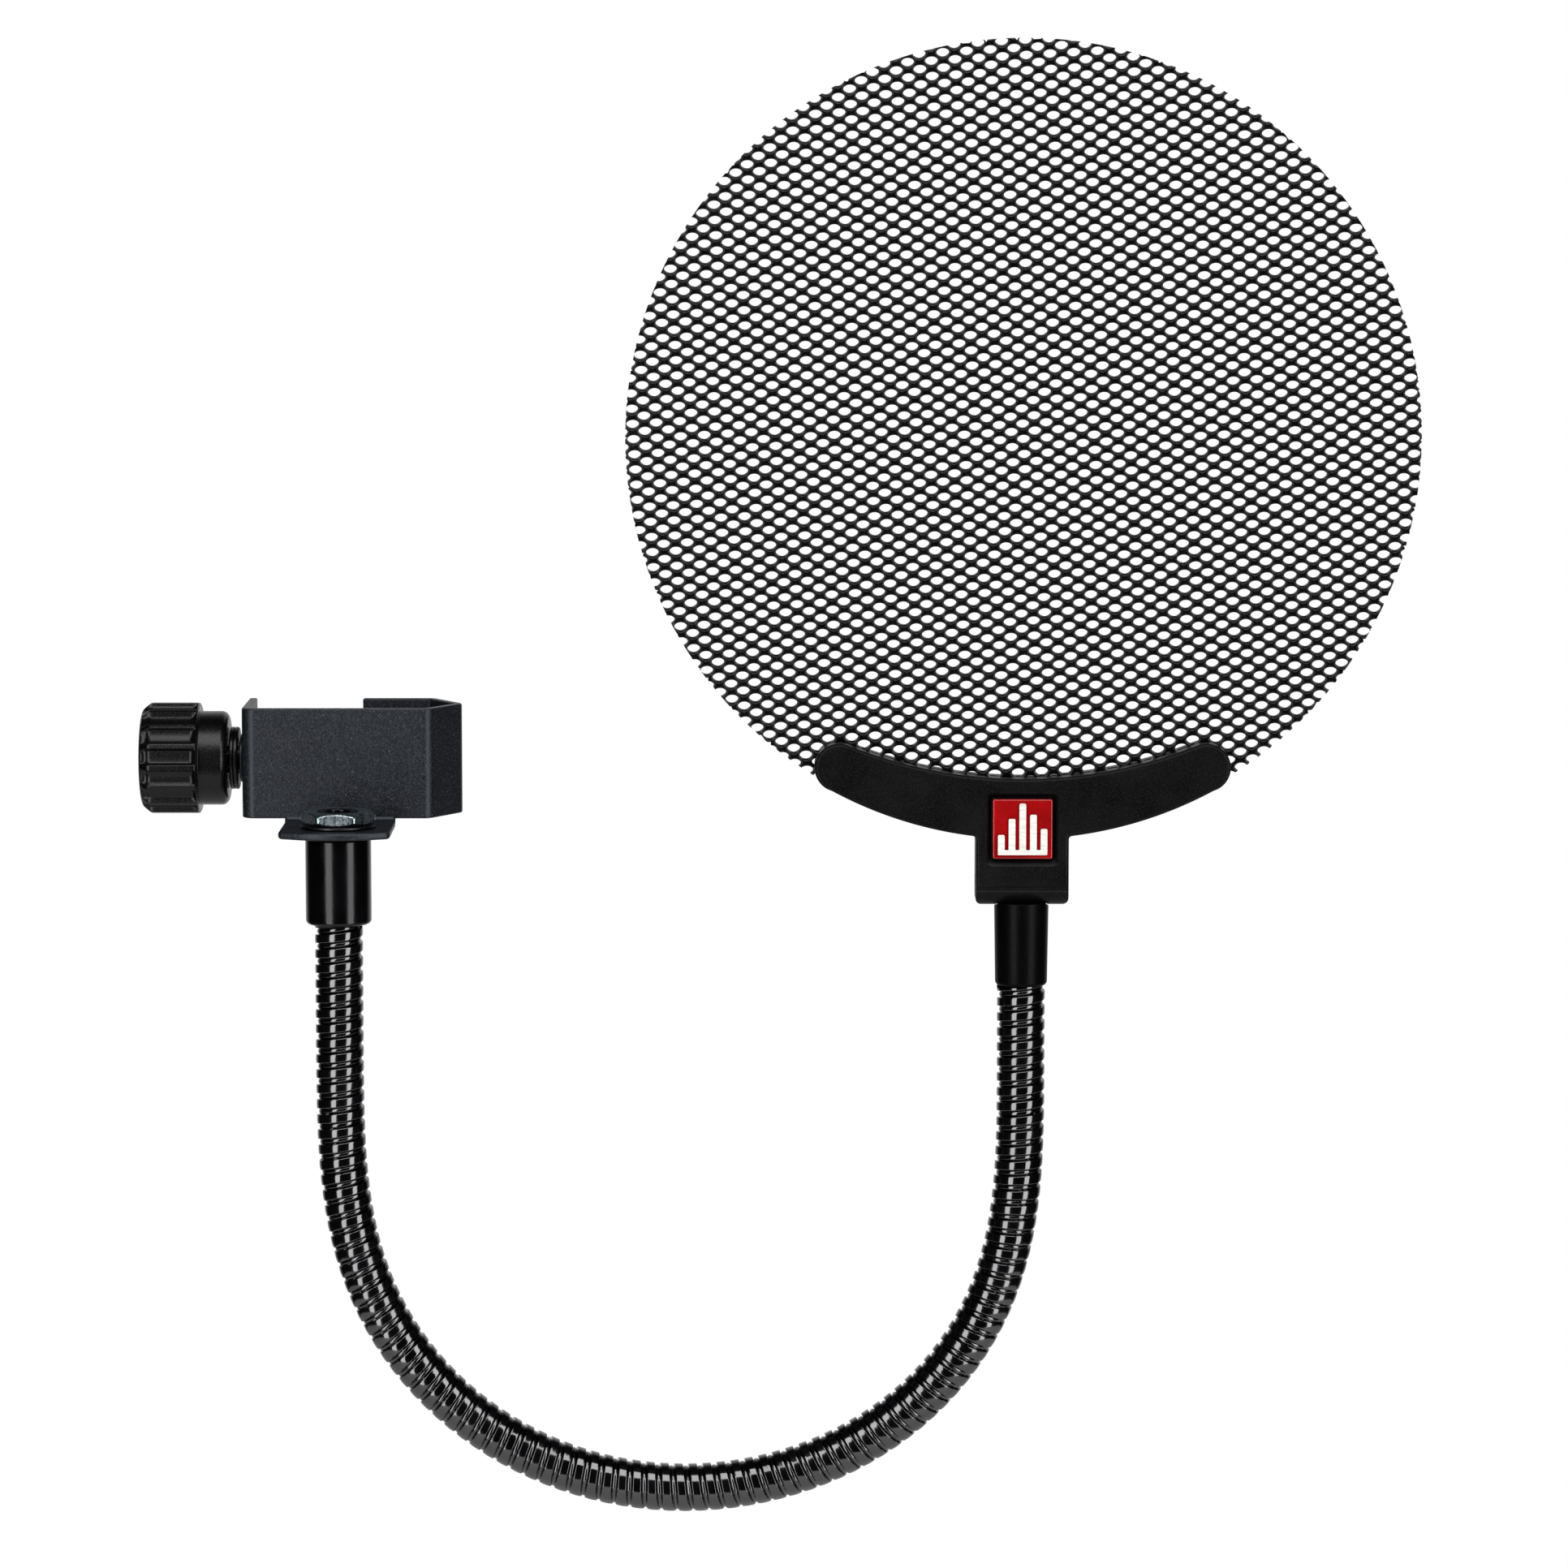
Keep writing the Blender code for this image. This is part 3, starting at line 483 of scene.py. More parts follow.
def rubber():
    """Dull black rubber with a dusty bloom."""
    finish = Finish("pad_rubber", (0.012, 0.012, 0.012), 0.75, specular=0.3)
    bloom = finish.noise(400, 5.0)
    finish.colours(bloom, (0.008, 0.008, 0.008), (0.03, 0.03, 0.029))
    finish.rough(bloom, 0.6, 0.9)
    finish.bump(finish.noise(3000, 2.0), 0.03 * MM)
    return finish.material


def nylon():
    finish = Finish("washer_nylon", (0.05, 0.05, 0.05), 0.5)
    cloud = finish.noise(600, 3.0)
    finish.colours(cloud, (0.035, 0.035, 0.035), (0.07, 0.07, 0.068))
    finish.rough(cloud, 0.4, 0.6)
    finish.bump(finish.noise(2500, 2.0), 0.01 * MM)
    return finish.material


def badge_red():
    """Deep red gloss lacquer that pools darker in places."""
    finish = Finish("badge_red", (0.45, 0.004, 0.006), 0.16, specular=0.35, coat=0.3)
    pooling = finish.noise(150, 3.0)
    finish.colours(pooling, (0.13, 0.0006, 0.001), (0.24, 0.002, 0.003))
    finish.rough(finish.noise(1800, 3.0), 0.12, 0.26)
    finish.bump(finish.noise(700, 2.0), 0.02 * MM)
    return finish.material


def emblem_white():
    """Printed off-white metal relief with a slightly brushed face."""
    finish = Finish("emblem_white", (0.80, 0.77, 0.73), 0.4, specular=0.4)
    brushed = finish.noise(2600, 3.0, finish.stretched(0.15, 1, 1))
    finish.colours(brushed, (0.42, 0.40, 0.375), (0.56, 0.54, 0.515))
    finish.rough(brushed, 0.32, 0.5)
    finish.bump(brushed, 0.012 * MM)
    return finish.material


def screen_coat():
    """Thin satin black coat on pressed steel sheet."""
    finish = Finish("screen_coat", (0.002, 0.002, 0.002), 0.25, specular=0.25)
    cloud = finish.noise(220, 4.0)
    finish.colours(cloud, (0.0005, 0.0005, 0.0006), (0.0012, 0.0012, 0.0014))
    finish.rough(finish.noise(1800, 3.0), 0.18, 0.3)
    finish.bump(finish.noise(3500, 2.0), 0.012 * MM)
    return finish.material


BRACKET_COAT = bracket_coat()
FERRULE_GLOSS = black_gloss("ferrule_gloss", 0.16, 0.22, 0.012 * MM)
NECK_GLOSS = black_gloss("neck_gloss", 0.11, 0.9, 0.005 * MM)
ZINC = zinc()
DARK_STEEL = steel("dark_steel", (0.035, 0.035, 0.04), 0.35)
BRIGHT_STEEL = steel("bright_steel", (0.55, 0.56, 0.57), 0.28)
KNOB_PLASTIC = moulded_plastic("knob_plastic", 0.0006, 0.003, 0.27, 0.2, 2600, 0.03 * MM)
PAD_RUBBER = rubber()
POST_BLACK = moulded_plastic("post_black", 0.0006, 0.0012, 0.34, 0.04, 3000, 0.008 * MM)
YOKE_PLASTIC = moulded_plastic("yoke_plastic", 0.0005, 0.006, 0.4, 0.075, 3200, 0.04 * MM)
WASHER_NYLON = nylon()
BADGE_RED = badge_red()
EMBLEM_WHITE = emblem_white()
SCREEN_COAT = screen_coat()


# ---------------------------------------------------------------- clamp

def bent_strip(corners, radius, thickness, steps=12):
    """The outline of a strip of sheet along straight runs, with a round bend at each inner corner."""
    line = rounded([(*corner, radius) for corner in corners], closed=False, steps=steps)
    line = [Vector(point) for point in line]
    ways = [(after - before).normalized() for before, after in zip([line[0], *line], [*line[1:], line[-1]])]
    ways = [(a + b).normalized() for a, b in zip(ways, [*ways[1:], ways[-1]])]
    ways[0] = (line[1] - line[0]).normalized()
    ways[-1] = (line[-1] - line[-2]).normalized()
    left = [point + way.orthogonal() * thickness / 2 for point, way in zip(line, ways)]
    right = [point - way.orthogonal() * thickness / 2 for point, way in zip(line, ways)]
    return left + right[::-1]


def tab_plan(centre, front):
    """The tab's outline from above: straight sides, round corners and a slightly bowed nose."""
    reach = TAB_HALF_WIDTH - TAB_CORNER
    shoulder = front + TAB_NOSE_SAGITTA + TAB_CORNER
    nose = reach**2 / (2 * TAB_NOSE_SAGITTA) + TAB_NOSE_SAGITTA / 2
    spread = math.degrees(math.asin(reach / nose))
    points = [(centre + TAB_HALF_WIDTH, 0)]
    points += arc((centre + reach, shoulder), TAB_CORNER, 0, spread - 90, 10)
    points += arc((centre, front + nose), nose, spread - 90, -90 - spread, 24)[1:-1]
    points += arc((centre - reach, shoulder), TAB_CORNER, -90 - spread, -180, 10)
    return points + [(centre - TAB_HALF_WIDTH, 0)]


def make_bracket():
    low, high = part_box("clamp_bracket")
    half = SHEET / 2
    depth = high.y
    height = high.z
    front = half - depth
    slope = depth / (high.x - JAW_BEND_X)
    tip = high.x - half * math.hypot(1, slope) / slope
    bend = tip - abs(front) / slope
    flange_end = -9.6 * MM
    corners = ((low.x + half, depth), (low.x + half, front), (bend, front), (tip, 0), (bend, -front),
               (flange_end, -front))
    strip = bent_strip(corners, BEND_RADIUS, SHEET)
    bracket = soften(add_object("bracket", prism(strip, -height, height), BRACKET_COAT), SHEET_EDGE)
    neck = middle("neck_nut")
    tab_middle = low.z + half
    root = TAB_ROOT - height
    profile = bent_strip(((front, root), (front, tab_middle), (low.y, tab_middle)), BEND_RADIUS, SHEET)
    tab_x = neck.x + TAB_OFFSET
    blank = prism(profile, tab_x - TAB_HALF_WIDTH, tab_x + TAB_HALF_WIDTH, "YZ")
    tab = add_object("tab", blank, BRACKET_COAT)
    plan = prism(tab_plan(tab_x, low.y), low.z - SHEET, 0)
    combine(tab, add_object("tab_plan", plan, BRACKET_COAT), "INTERSECT")
    soften(tab, TAB_EDGE, 5)
    combine(bracket, tab, "UNION")
    stud = turned(cylinder(STUD_RADIUS + GAP, 3 * SHEET))
    cut(bracket, stud, (neck.x, neck.y, low.z - SHEET))
    bush = turned(cylinder(SCREW_RADIUS + 1.3 * MM, 3 * SHEET))
    cut(bracket, bush, (low.x - SHEET, 0, 0), (1, 0, 0))
    settle(even_shading(bracket), "clamp", "bracket_coat", "clamp_bracket")


def thread(radius, length, pitch, depth, sides=40, rows=10):
    """A screw thread about Z with chamfered ends, from height 0 to length."""
    angles = np.linspace(0, 2 * math.pi, sides, endpoint=False)
    heights = np.linspace(0, length, int(length / pitch * rows) + 1)
    rings = [np.zeros((sides, 3))]
    for height in heights:
        phase = (height / pitch - angles / (2 * math.pi)) % 1
        ridge = np.clip(1.25 - np.abs(phase - 0.5) * 3.2, 0, 1)
        lead = min(1.0, 0.4 + min(height, length - height) / pitch)
        reach = (radius - depth) + depth * ridge * lead
        rings.append(np.stack([reach * np.cos(angles), reach * np.sin(angles), height + 0 * angles], axis=-1))
    rings.append(np.tile((0, 0, length), (sides, 1)))
    shape = sheet_of(rings)
    bmesh.ops.remove_doubles(shape, verts=shape.verts, dist=MERGE_DISTANCE)
    return shape


def make_clamp_screw():
    low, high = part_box("clamp_screw")
    shape = thread(SCREW_RADIUS, high.x - low.x, SCREW_PITCH, THREAD_DEPTH)
    screw = add_object("screw_rod", shape, BRIGHT_STEEL, 60)
    settle(place(screw, (low.x, 0, 0), (1, 0, 0)), "screw", "bright_steel", "clamp_screw")


def make_bush():
    low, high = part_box("threaded_bush")
    bore, flange, barrel = SCREW_RADIUS + 0.1 * MM, high.z, SCREW_RADIUS + 1.0 * MM
    step = 0.6 * MM
    length = high.x - low.x
    profile = rounded(((bore, 0, 0.15 * MM), (flange, 0, 0.2 * MM), (flange, step, 0.2 * MM),
                       (barrel, step, 0), (barrel, length, 0.2 * MM), (bore, length, 0.15 * MM)))
    bush = add_object("bush", turned(profile), DARK_STEEL)
    settle(place(bush, (low.x, 0, 0), (1, 0, 0)), "clamp", "dark_steel", "threaded_bush")


def make_pad():
    """Rubber-faced pad with concentric grip rings and a boss that holds the screw's end."""
    low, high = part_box("pressure_pad")
    radius = high.z
    length = high.x - low.x
    face = [(0, 0.12 * MM, 0)]
    for ring in (1.2 * MM, 2.6 * MM, 4.0 * MM):
        face += [(ring, 0.12 * MM, 0.1 * MM), (ring + 0.2 * MM, 0.45 * MM, 0.1 * MM),
                 (ring + 0.5 * MM, 0.45 * MM, 0.1 * MM), (ring + 0.7 * MM, 0.12 * MM, 0.1 * MM)]
    face += [(radius, 0.0, 0.6 * MM), (radius, 2.4 * MM, 0.35 * MM), (4.6 * MM, 2.7 * MM, 0.3 * MM),
             (4.6 * MM, length, 0.3 * MM), (SCREW_RADIUS + GAP, length, 0.2 * MM),
             (SCREW_RADIUS + GAP, 2.1 * MM, 0), (0, 2.1 * MM, 0)]
    pad = add_object("rubber_pad", turned(rounded(face, closed=False, steps=4)), PAD_RUBBER)
    settle(place(pad, (high.x, 0, 0), (-1, 0, 0)), "pad", "pad_rubber", "pressure_pad")


def make_spacer():
    low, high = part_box("knob_spacer")
    edge = 0.3 * MM
    bore, outer, length = SCREW_RADIUS + 0.15 * MM, high.z, high.x - low.x
    groove = outer - 0.22 * MM
    profile = rounded(((bore, 0, 0), (outer, 0, edge), (outer, length * 0.42, 0.05 * MM),
                       (groove, length / 2, 0), (outer, length * 0.58, 0.05 * MM),
                       (outer, length, edge), (bore, length, 0)))
    ring = add_object("spacer_ring", turned(profile), KNOB_PLASTIC)
    settle(place(ring, (low.x, 0, 0), (1, 0, 0)), "screw", "knob_plastic", "knob_spacer")


def make_knob():
    """One moulding: a domed end, sixteen scooped flutes between raised ribs, a step and a smooth collar."""
    low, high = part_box("clamp_knob")
    radius = high.z
    length = high.x - low.x
    grip_end = 11.7 * MM
    collar = 9.4 * MM
    scoop = 1.2 * MM

    def flutes(height, angles):
        phase = (angles * KNOB_FLUTES / (2 * math.pi) - 0.18) % 1
        side = np.abs(phase - 0.5) * 2
        valley = np.clip((0.76 - side) / 0.14, 0, 1)
        valley = valley * valley * (3 - 2 * valley)
        bowl = 0.75 + 0.25 * np.clip(1 - (side / 0.65) ** 2, 0, 1)
        start = np.clip((height - 0.5 * MM) / (0.9 * MM), 0, 1)
        end = np.clip((grip_end - 0.35 * MM - height) / (0.6 * MM), 0, 1)
        return scoop * valley * bowl * math.sqrt(min(start, end))

    outline = rounded(((0, 0.55 * MM, 0), (radius * 0.5, 0.55 * MM, 0.3 * MM), (radius * 0.56, 0.0, 0.4 * MM),
                       (radius - 1.6 * MM, 0, 1.5 * MM), (radius, 1.9 * MM, 1.4 * MM),
                       (radius, grip_end, 0.7 * MM), (collar, grip_end, 0.25 * MM),
                       (collar, length, 1.5 * MM), (SCREW_RADIUS + GAP, length, 0.3 * MM),
                       (SCREW_RADIUS + GAP, 6.2 * MM, 0), (0, 6.2 * MM, 0)), closed=False, steps=8)
    profile = []
    for (reach, start), (_, end) in zip(outline, outline[1:]):
        profile.append((reach, start))
        if reach > collar and abs(end - start) > 1 * MM:
            profile += [(radius, height) for height in np.linspace(start, end, 22)[1:-1]]
    profile.append(outline[-1])
    shape = turned(profile, KNOB_FLUTES * 24,
                   lambda height, angles: flutes(height, angles) if height < grip_end else 0 * angles)
    knob = add_object("knob", shape, KNOB_PLASTIC, 50)
    settle(place(knob, (low.x, 0, 0), (1, 0, 0)), "screw", "knob_plastic", "clamp_knob")


def make_nut():
    """Hexagon nut, chamfered on both faces, with one flat forward."""
    low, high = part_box("neck_nut")
    height = high.z - low.z
    flat = (high.y - low.y) / 2
    angles = np.linspace(0, 2 * math.pi, 144, endpoint=False)
    beside = (angles + math.pi / 6) % (math.pi / 3) - math.pi / 6
    side = np.abs(np.abs(beside) - math.pi / 6)
    reach = np.minimum(flat / np.cos(side), flat * 2 / math.sqrt(3) - 0.12 * MM)
    start = flat - 0.15 * MM
    drop = (reach - start) * math.tan(math.radians(30))
    bore = STUD_RADIUS + 0.1 * MM
    chamfer = 0.35 * MM

    def ring(radius, level):
        radius = radius + 0 * angles
        return np.stack([radius * np.cos(angles), radius * np.sin(angles), level + 0 * angles], axis=-1)

    soft = 0.12 * MM
    rows = [ring(bore, chamfer), ring(bore + chamfer, 0), ring(start, 0),
            ring(reach - soft, drop - soft * 0.5), ring(reach, drop + soft),
            ring(reach, height - drop - soft), ring(reach - soft, height - drop + soft * 0.5),
            ring(start, height), ring(bore + chamfer, height), ring(bore, height - chamfer)]
    nut = add_object("hex_nut", sheet_of(rows, wrap_rows=True), ZINC, 25)
    where = middle("neck_nut")
    settle(place(nut, (where.x, where.y, low.z)), "clamp", "zinc", "neck_nut")


def make_washer():
    low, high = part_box("neck_washer")
    where = middle("neck_washer")
    edge = 0.12 * MM
    outer = (high.x - low.x) / 2
    bore = STUD_RADIUS + GAP
    profile = flat_ring(bore, outer, high.z - low.z, edge)
    washer = add_object("washer", turned(profile), DARK_STEEL)
    settle(place(washer, (where.x, where.y, low.z)), "clamp", "dark_steel", "neck_washer")


def make_ferrule():
    """Ferrule with a rolled lower lip; its hollow threaded stud goes up through the tab."""
    low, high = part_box("neck_base_ferrule")
    outer = (high.x - low.x) / 2
    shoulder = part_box("clamp_bracket")[0].z - GAP - low.z
    top = high.z - low.z
    socket = NECK_RADIUS + 0.12 * MM
    turns = [(STUD_RADIUS, shoulder, 0)]
    pitch = 1.25 * MM
    steps = int((top - shoulder) / pitch)
    for turn in range(steps):
        base = shoulder + (turn + 0.4) * pitch
        turns += [(STUD_RADIUS, base, 0), (STUD_RADIUS - 0.45 * MM, base + pitch * 0.4, 0.05 * MM),
                  (STUD_RADIUS, base + pitch * 0.8, 0)]
    profile = rounded([(NECK_BORE, top, 0.2 * MM), (STUD_RADIUS - 0.1 * MM, top, 0.3 * MM), *turns[::-1],
                       (outer, shoulder, 0.5 * MM), (outer, 0.0, 0.9 * MM), (socket, 0.0, 0.25 * MM),
                       (socket, 12.2 * MM, 0), (NECK_BORE, 12.2 * MM, 0)])
    ferrule = add_object("ferrule", turned(profile, 128), FERRULE_GLOSS)
    settle(place(ferrule, NECK_FOOT), "clamp", "ferrule_gloss", "neck_base_ferrule")


# ---------------------------------------------------------------- neck

def neck_line():
    """The neck's centre line as a spline of arc length, through its foot, its joints and the head's foot."""
    chain = [joint for joint in frame["joints"] if joint["name"].startswith("neck_")]
    points = [NECK_FOOT] + [Vector(joint["pos_m"]) for joint in chain] + [HEAD_FOOT]
    points = np.array(points)
    links = np.linalg.norm(np.diff(points, axis=0), axis=1)
    step = links[0]
    count = len(points)
    system = np.eye(count) * 4 + np.eye(count, k=1) + np.eye(count, k=-1)
    system[0, :2] = system[-1, -2:] = 0
    system[0, 0] = system[-1, -1] = 1
    right = np.zeros((count, 3))
    right[1:-1] = 3 * (points[2:] - points[:-2]) / step
    right[0], right[-1] = (0, 0, -1), (0, 0, 1)
    return points, np.linalg.solve(system, right), step


LINE_POINTS, LINE_WAYS, LINK = neck_line()
NECK_LENGTH = LINK * (len(LINE_POINTS) - 1)


def on_line(distance):
    """Centre, direction, inward direction and curvature of the neck at an array of distances.

    Past its ends the line runs straight on.
    """
    distance = np.asarray(distance, float)
    inside = np.clip(distance, 0, NECK_LENGTH - 1e-9)
    link = np.floor(inside / LINK).astype(int)
    t = (inside / LINK - link)[:, None]
    p, q = LINE_POINTS[link], LINE_POINTS[link + 1]
    m, n = LINE_WAYS[link] * LINK, LINE_WAYS[link + 1] * LINK
    centre = (2 * t**3 - 3 * t**2 + 1) * p + (t**3 - 2 * t**2 + t) * m
    centre = centre + (3 * t**2 - 2 * t**3) * q + (t**3 - t**2) * n
    way = (6 * t**2 - 6 * t) * (p - q) + (3 * t**2 - 4 * t + 1) * m + (3 * t**2 - 2 * t) * n
    bend = (12 * t - 6) * (p - q) + (6 * t - 4) * m + (6 * t - 2) * n
    way = way / np.linalg.norm(way, axis=1)[:, None]
    inward = np.stack([-way[:, 2], 0 * way[:, 0], way[:, 0]], axis=-1)
    curvature = np.sum(bend * inward, axis=1) / LINK**2
    return centre + way * (distance - inside)[:, None], way, inward, curvature


def coil_drop(across, squeeze):
    """How far the winding's surface lies under its outer radius.

    across is the distance from the middle of the wide winding, and squeeze goes from -1 on the stretched
    side of a bend to 1 on its inner side.
    """
    widening = np.where(squeeze < 0, -squeeze * 0.34, squeeze * 0.02) * MM
    half = RIB_HALF_WIDTH + widening
    shoulder = np.clip((across - (half - RIB_ROUNDING)) / RIB_ROUNDING, 0, 1)
    rib = RIB_ROUNDING * (1 - np.sqrt(1 - np.minimum(shoulder, 0.98)**2))
    crown = 0.10 * MM * (across / half)**2 * np.clip(-squeeze + 0.35, 0, 1)
    rib = np.where(across < half, rib + crown, 1)
    beside = np.minimum(np.abs(COIL_PITCH / 2 - across) / WIRE_RADIUS, 0.97)
    wire = WIRE_SINK + WIRE_RADIUS * (1 - np.sqrt(1 - beside**2))
    return np.minimum(np.minimum(rib, wire), 1.05 * MM)


def row_fractions():
    """Where one pitch's rows lie: close together on the shoulders and the wire, far apart on the flat."""
    flat = RIB_HALF_WIDTH - RIB_ROUNDING
    half = [0.0, flat * 0.5, flat, flat + 0.45 * RIB_ROUNDING, flat + 0.8 * RIB_ROUNDING, RIB_HALF_WIDTH,
            RIB_HALF_WIDTH + 0.04 * MM, RIB_HALF_WIDTH + 0.16 * MM, RIB_HALF_WIDTH + 0.30 * MM,
            RIB_HALF_WIDTH + 0.44 * MM]
    half = np.array(half) / COIL_PITCH
    return np.concatenate([half, [0.5], 1 - half[:0:-1]])


def coil_piece(name, first_row, last_row):
    """A closed stretch of the wound tube between two rows of the helix."""
    fractions = row_fractions()
    per_turn = len(fractions)
    rows = np.arange(first_row, last_row + 1)
    level = (rows // per_turn + fractions[rows % per_turn]) * COIL_PITCH
    angles = np.linspace(0, 2 * math.pi, COIL_SIDES + 1)
    distance = level[:, None] + COIL_PITCH * (0.5 - angles[None, :] / (2 * math.pi))
    centre, _, inward, curvature = on_line(distance.ravel())
    shape_of = distance.shape + (3,)
    centre, inward = centre.reshape(shape_of), inward.reshape(shape_of)
    curvature = curvature.reshape(distance.shape)
    side = np.cos(angles)[None, :, None] * inward
    side[..., 1] += np.sin(angles)[None, :]
    squeeze = np.clip(curvature * NECK_RADIUS * np.cos(angles)[None, :] / 0.07, -1, 1)
    across = np.abs((level / COIL_PITCH + 0.5) % 1 - 0.5)[:, None] * COIL_PITCH + 0 * squeeze
    radius = NECK_RADIUS - coil_drop(across, squeeze)
    outer = centre + side * radius[..., None]
    inner = centre + side * NECK_BORE
    shape = sheet_of(np.concatenate([outer, inner[::-1]]), wrap_rows=True, wrap_columns=False)
    shape.verts.ensure_lookup_table()
    width = COIL_SIDES + 1
    total = 2 * len(rows)
    for column, start in ((COIL_SIDES, 0), (0, len(rows) - 1 - per_turn)):
        for row in range(start, start + per_turn):
            corners = (row, row + 1, total - 2 - row, total - 1 - row)
            shape.faces.new([shape.verts[corner * width + column] for corner in corners])
    bmesh.ops.remove_doubles(shape, verts=shape.verts, dist=2e-7)
    return add_object(name, shape, NECK_GLOSS, 40)


def make_neck():
    """One piece over each joint, from the middle of one CAD segment to the middle of the next."""
    per_turn = len(row_fractions())
    chain = [joint for joint in frame["joints"] if joint["name"].startswith("neck_")]
    bodies = [chain[0]["parent"]] + [joint["child"] for joint in chain]
    cuts = [int(round((number + 0.5) * LINK / COIL_PITCH * per_turn)) for number in range(len(bodies))]
    start = int(-10.0 * MM / COIL_PITCH * per_turn)
    foot = coil_piece("neck_coil_foot", start, cuts[0])
    settle(foot, "clamp", "neck_gloss", "neck_segment_01")
    for number, (low, high) in enumerate(zip(cuts, cuts[1:]), 1):
        piece = coil_piece(f"neck_coil_{number:02d}", low, high)
        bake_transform(piece)
        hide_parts(f"neck_segment_{number + 1:02d}")
    end = int((NECK_LENGTH + 1.2 * MM) / COIL_PITCH * per_turn)
    settle(coil_piece("neck_coil_head", cuts[-1], end), "post", "neck_gloss")


def make_post():
    """Post with a soft foot, a saddle under the yoke's barrel, and the eye that the pin goes through."""
    top = HINGE.z - SADDLE_DROP - HEAD_FOOT.z
    low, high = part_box("head_post")
    radius = (high.x - low.x) / 2
    spigot = NECK_BORE - GAP
    foot = low.z - HEAD_FOOT.z
    profile = rounded(((0, foot, 0), (spigot, foot, 0.4 * MM), (spigot, GAP / 2, 0),
                       (radius - 0.25 * MM, GAP / 2, 0.9 * MM), (radius, top, 0.15 * MM), (0, top, 0)),
                      closed=False)
    post = add_object("post", turned(profile, 128), POST_BLACK)
    post.data.transform(Matrix.Translation(HEAD_FOOT - HINGE))
    deep = BARREL_RADIUS + 2 * MM
    clearance = BARREL_RADIUS + GAP
    room = arc((0, 0), clearance, 180, 270, 32) + [(deep, -clearance), (deep, 0)]
    cut(post, prism(room, -2 * radius, 2 * radius, "YZ"))
    base = -clearance - 1 * MM
    front = 360 - math.degrees(math.acos(-STEM_FRONT / EYE_RADIUS))
    outline = [(-STEM_FRONT, base)] + arc((0, 0), EYE_RADIUS, front, 0, 48) + [(EYE_RADIUS, base)]
    stem = EYE_HALF_WIDTH + 0.2 * MM
    tongue = soften(add_object("tongue", prism(outline, -stem, stem, "YZ"), POST_BLACK), 0.2 * MM)
    combine(post, tongue, "UNION")
    hole = turned(cylinder(PIN_RADIUS + GAP / 2, 20 * MM), 48)
    cut(post, hole, (-10 * MM, 0, 0), (1, 0, 0))
    post.data.transform(Matrix.Translation(HINGE))
    settle(post, "post", "post_black", "head_post", "neck_segment_18")


# ---------------------------------------------------------------- head

def yoke_outline():
    """The yoke from the front, about the hinge: a crescent with round ends, over a block."""
    rise = SCREEN.z - HINGE.z
    fillet_radius = 0.7 * MM
    reach = BLOCK_HALF_WIDTH + fillet_radius
    rim = math.sqrt((CRESCENT_OUTER + fillet_radius) ** 2 - reach ** 2)
    fillet = (reach, rise - rim)
    fillet_end = math.degrees(math.atan2(rim, -reach))
    end = (CRESCENT_END_X, CRESCENT_END_RISE)
    outer_end = math.degrees(math.atan2(end[1] - rise, end[0]))
    inner_z = math.sqrt((CRESCENT_INNER + CRESCENT_END_RADIUS) ** 2 - end[0] ** 2) + end[1]
    inner_end = math.degrees(math.atan2(end[1] - inner_z, end[0]))
    corner = 1.5 * MM
    right = arc((BLOCK_HALF_WIDTH - corner, corner - BARREL_RADIUS), corner, -90, 0, 8)
    right += arc(fillet, fillet_radius, 180, fillet_end, 8)
    right += arc((0, rise), CRESCENT_OUTER, fillet_end - 180, outer_end, 28)[1:-1]
    right += arc(end, CRESCENT_END_RADIUS, outer_end, inner_end + 180, 24)
    right += arc((0, inner_z), CRESCENT_INNER, inner_end, -90, 32)[1:]
    return right + [(-x, z) for x, z in right[-2::-1]]


def yoke_half(name, low_y, high_y, edge):
    """One half of the yoke, with rounded edges, cut out for the hinge, the pin and the screen."""
    half = add_object(name, prism(yoke_outline(), low_y - HINGE.y, high_y - HINGE.y, "XZ"), YOKE_PLASTIC)
    soften(half, edge, 5, 40)
    reach = EYE_RADIUS + GAP
    slot_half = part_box("hinge_washer_right")[1].x - HINGE.x + 0.1 * MM
    deep = BARREL_RADIUS + 3 * MM
    skirt = arc((0, 0), reach, SKIRT_END_ANGLE, 90, 32)
    slot = skirt + [(deep, reach), (deep, -deep), (skirt[0][0], -deep)]
    cut(half, prism(slot, -slot_half, slot_half, "YZ"))
    width = BLOCK_HALF_WIDTH + 2 * MM
    hole = turned(cylinder(PIN_RADIUS + GAP / 2, 2 * width), 48)
    cut(half, hole, (-width, 0, 0), (1, 0, 0))
    foot = [(-deep, 0)] + arc((0, 0), BARREL_RADIUS, 180, 360, 48)
    foot += [(deep, 0), (deep, -deep), (-deep, -deep)]
    cut(half, prism(foot, -width, width, "YZ"))
    half.data.transform(Matrix.Translation(HINGE))
    disc = turned(cylinder(CRESCENT_OUTER + 1 * MM, SCREEN_SLOT), 192)
    return cut(half, disc, SCREEN - Vector((0, SCREEN_SLOT / 2, 0)), (0, 1, 0))


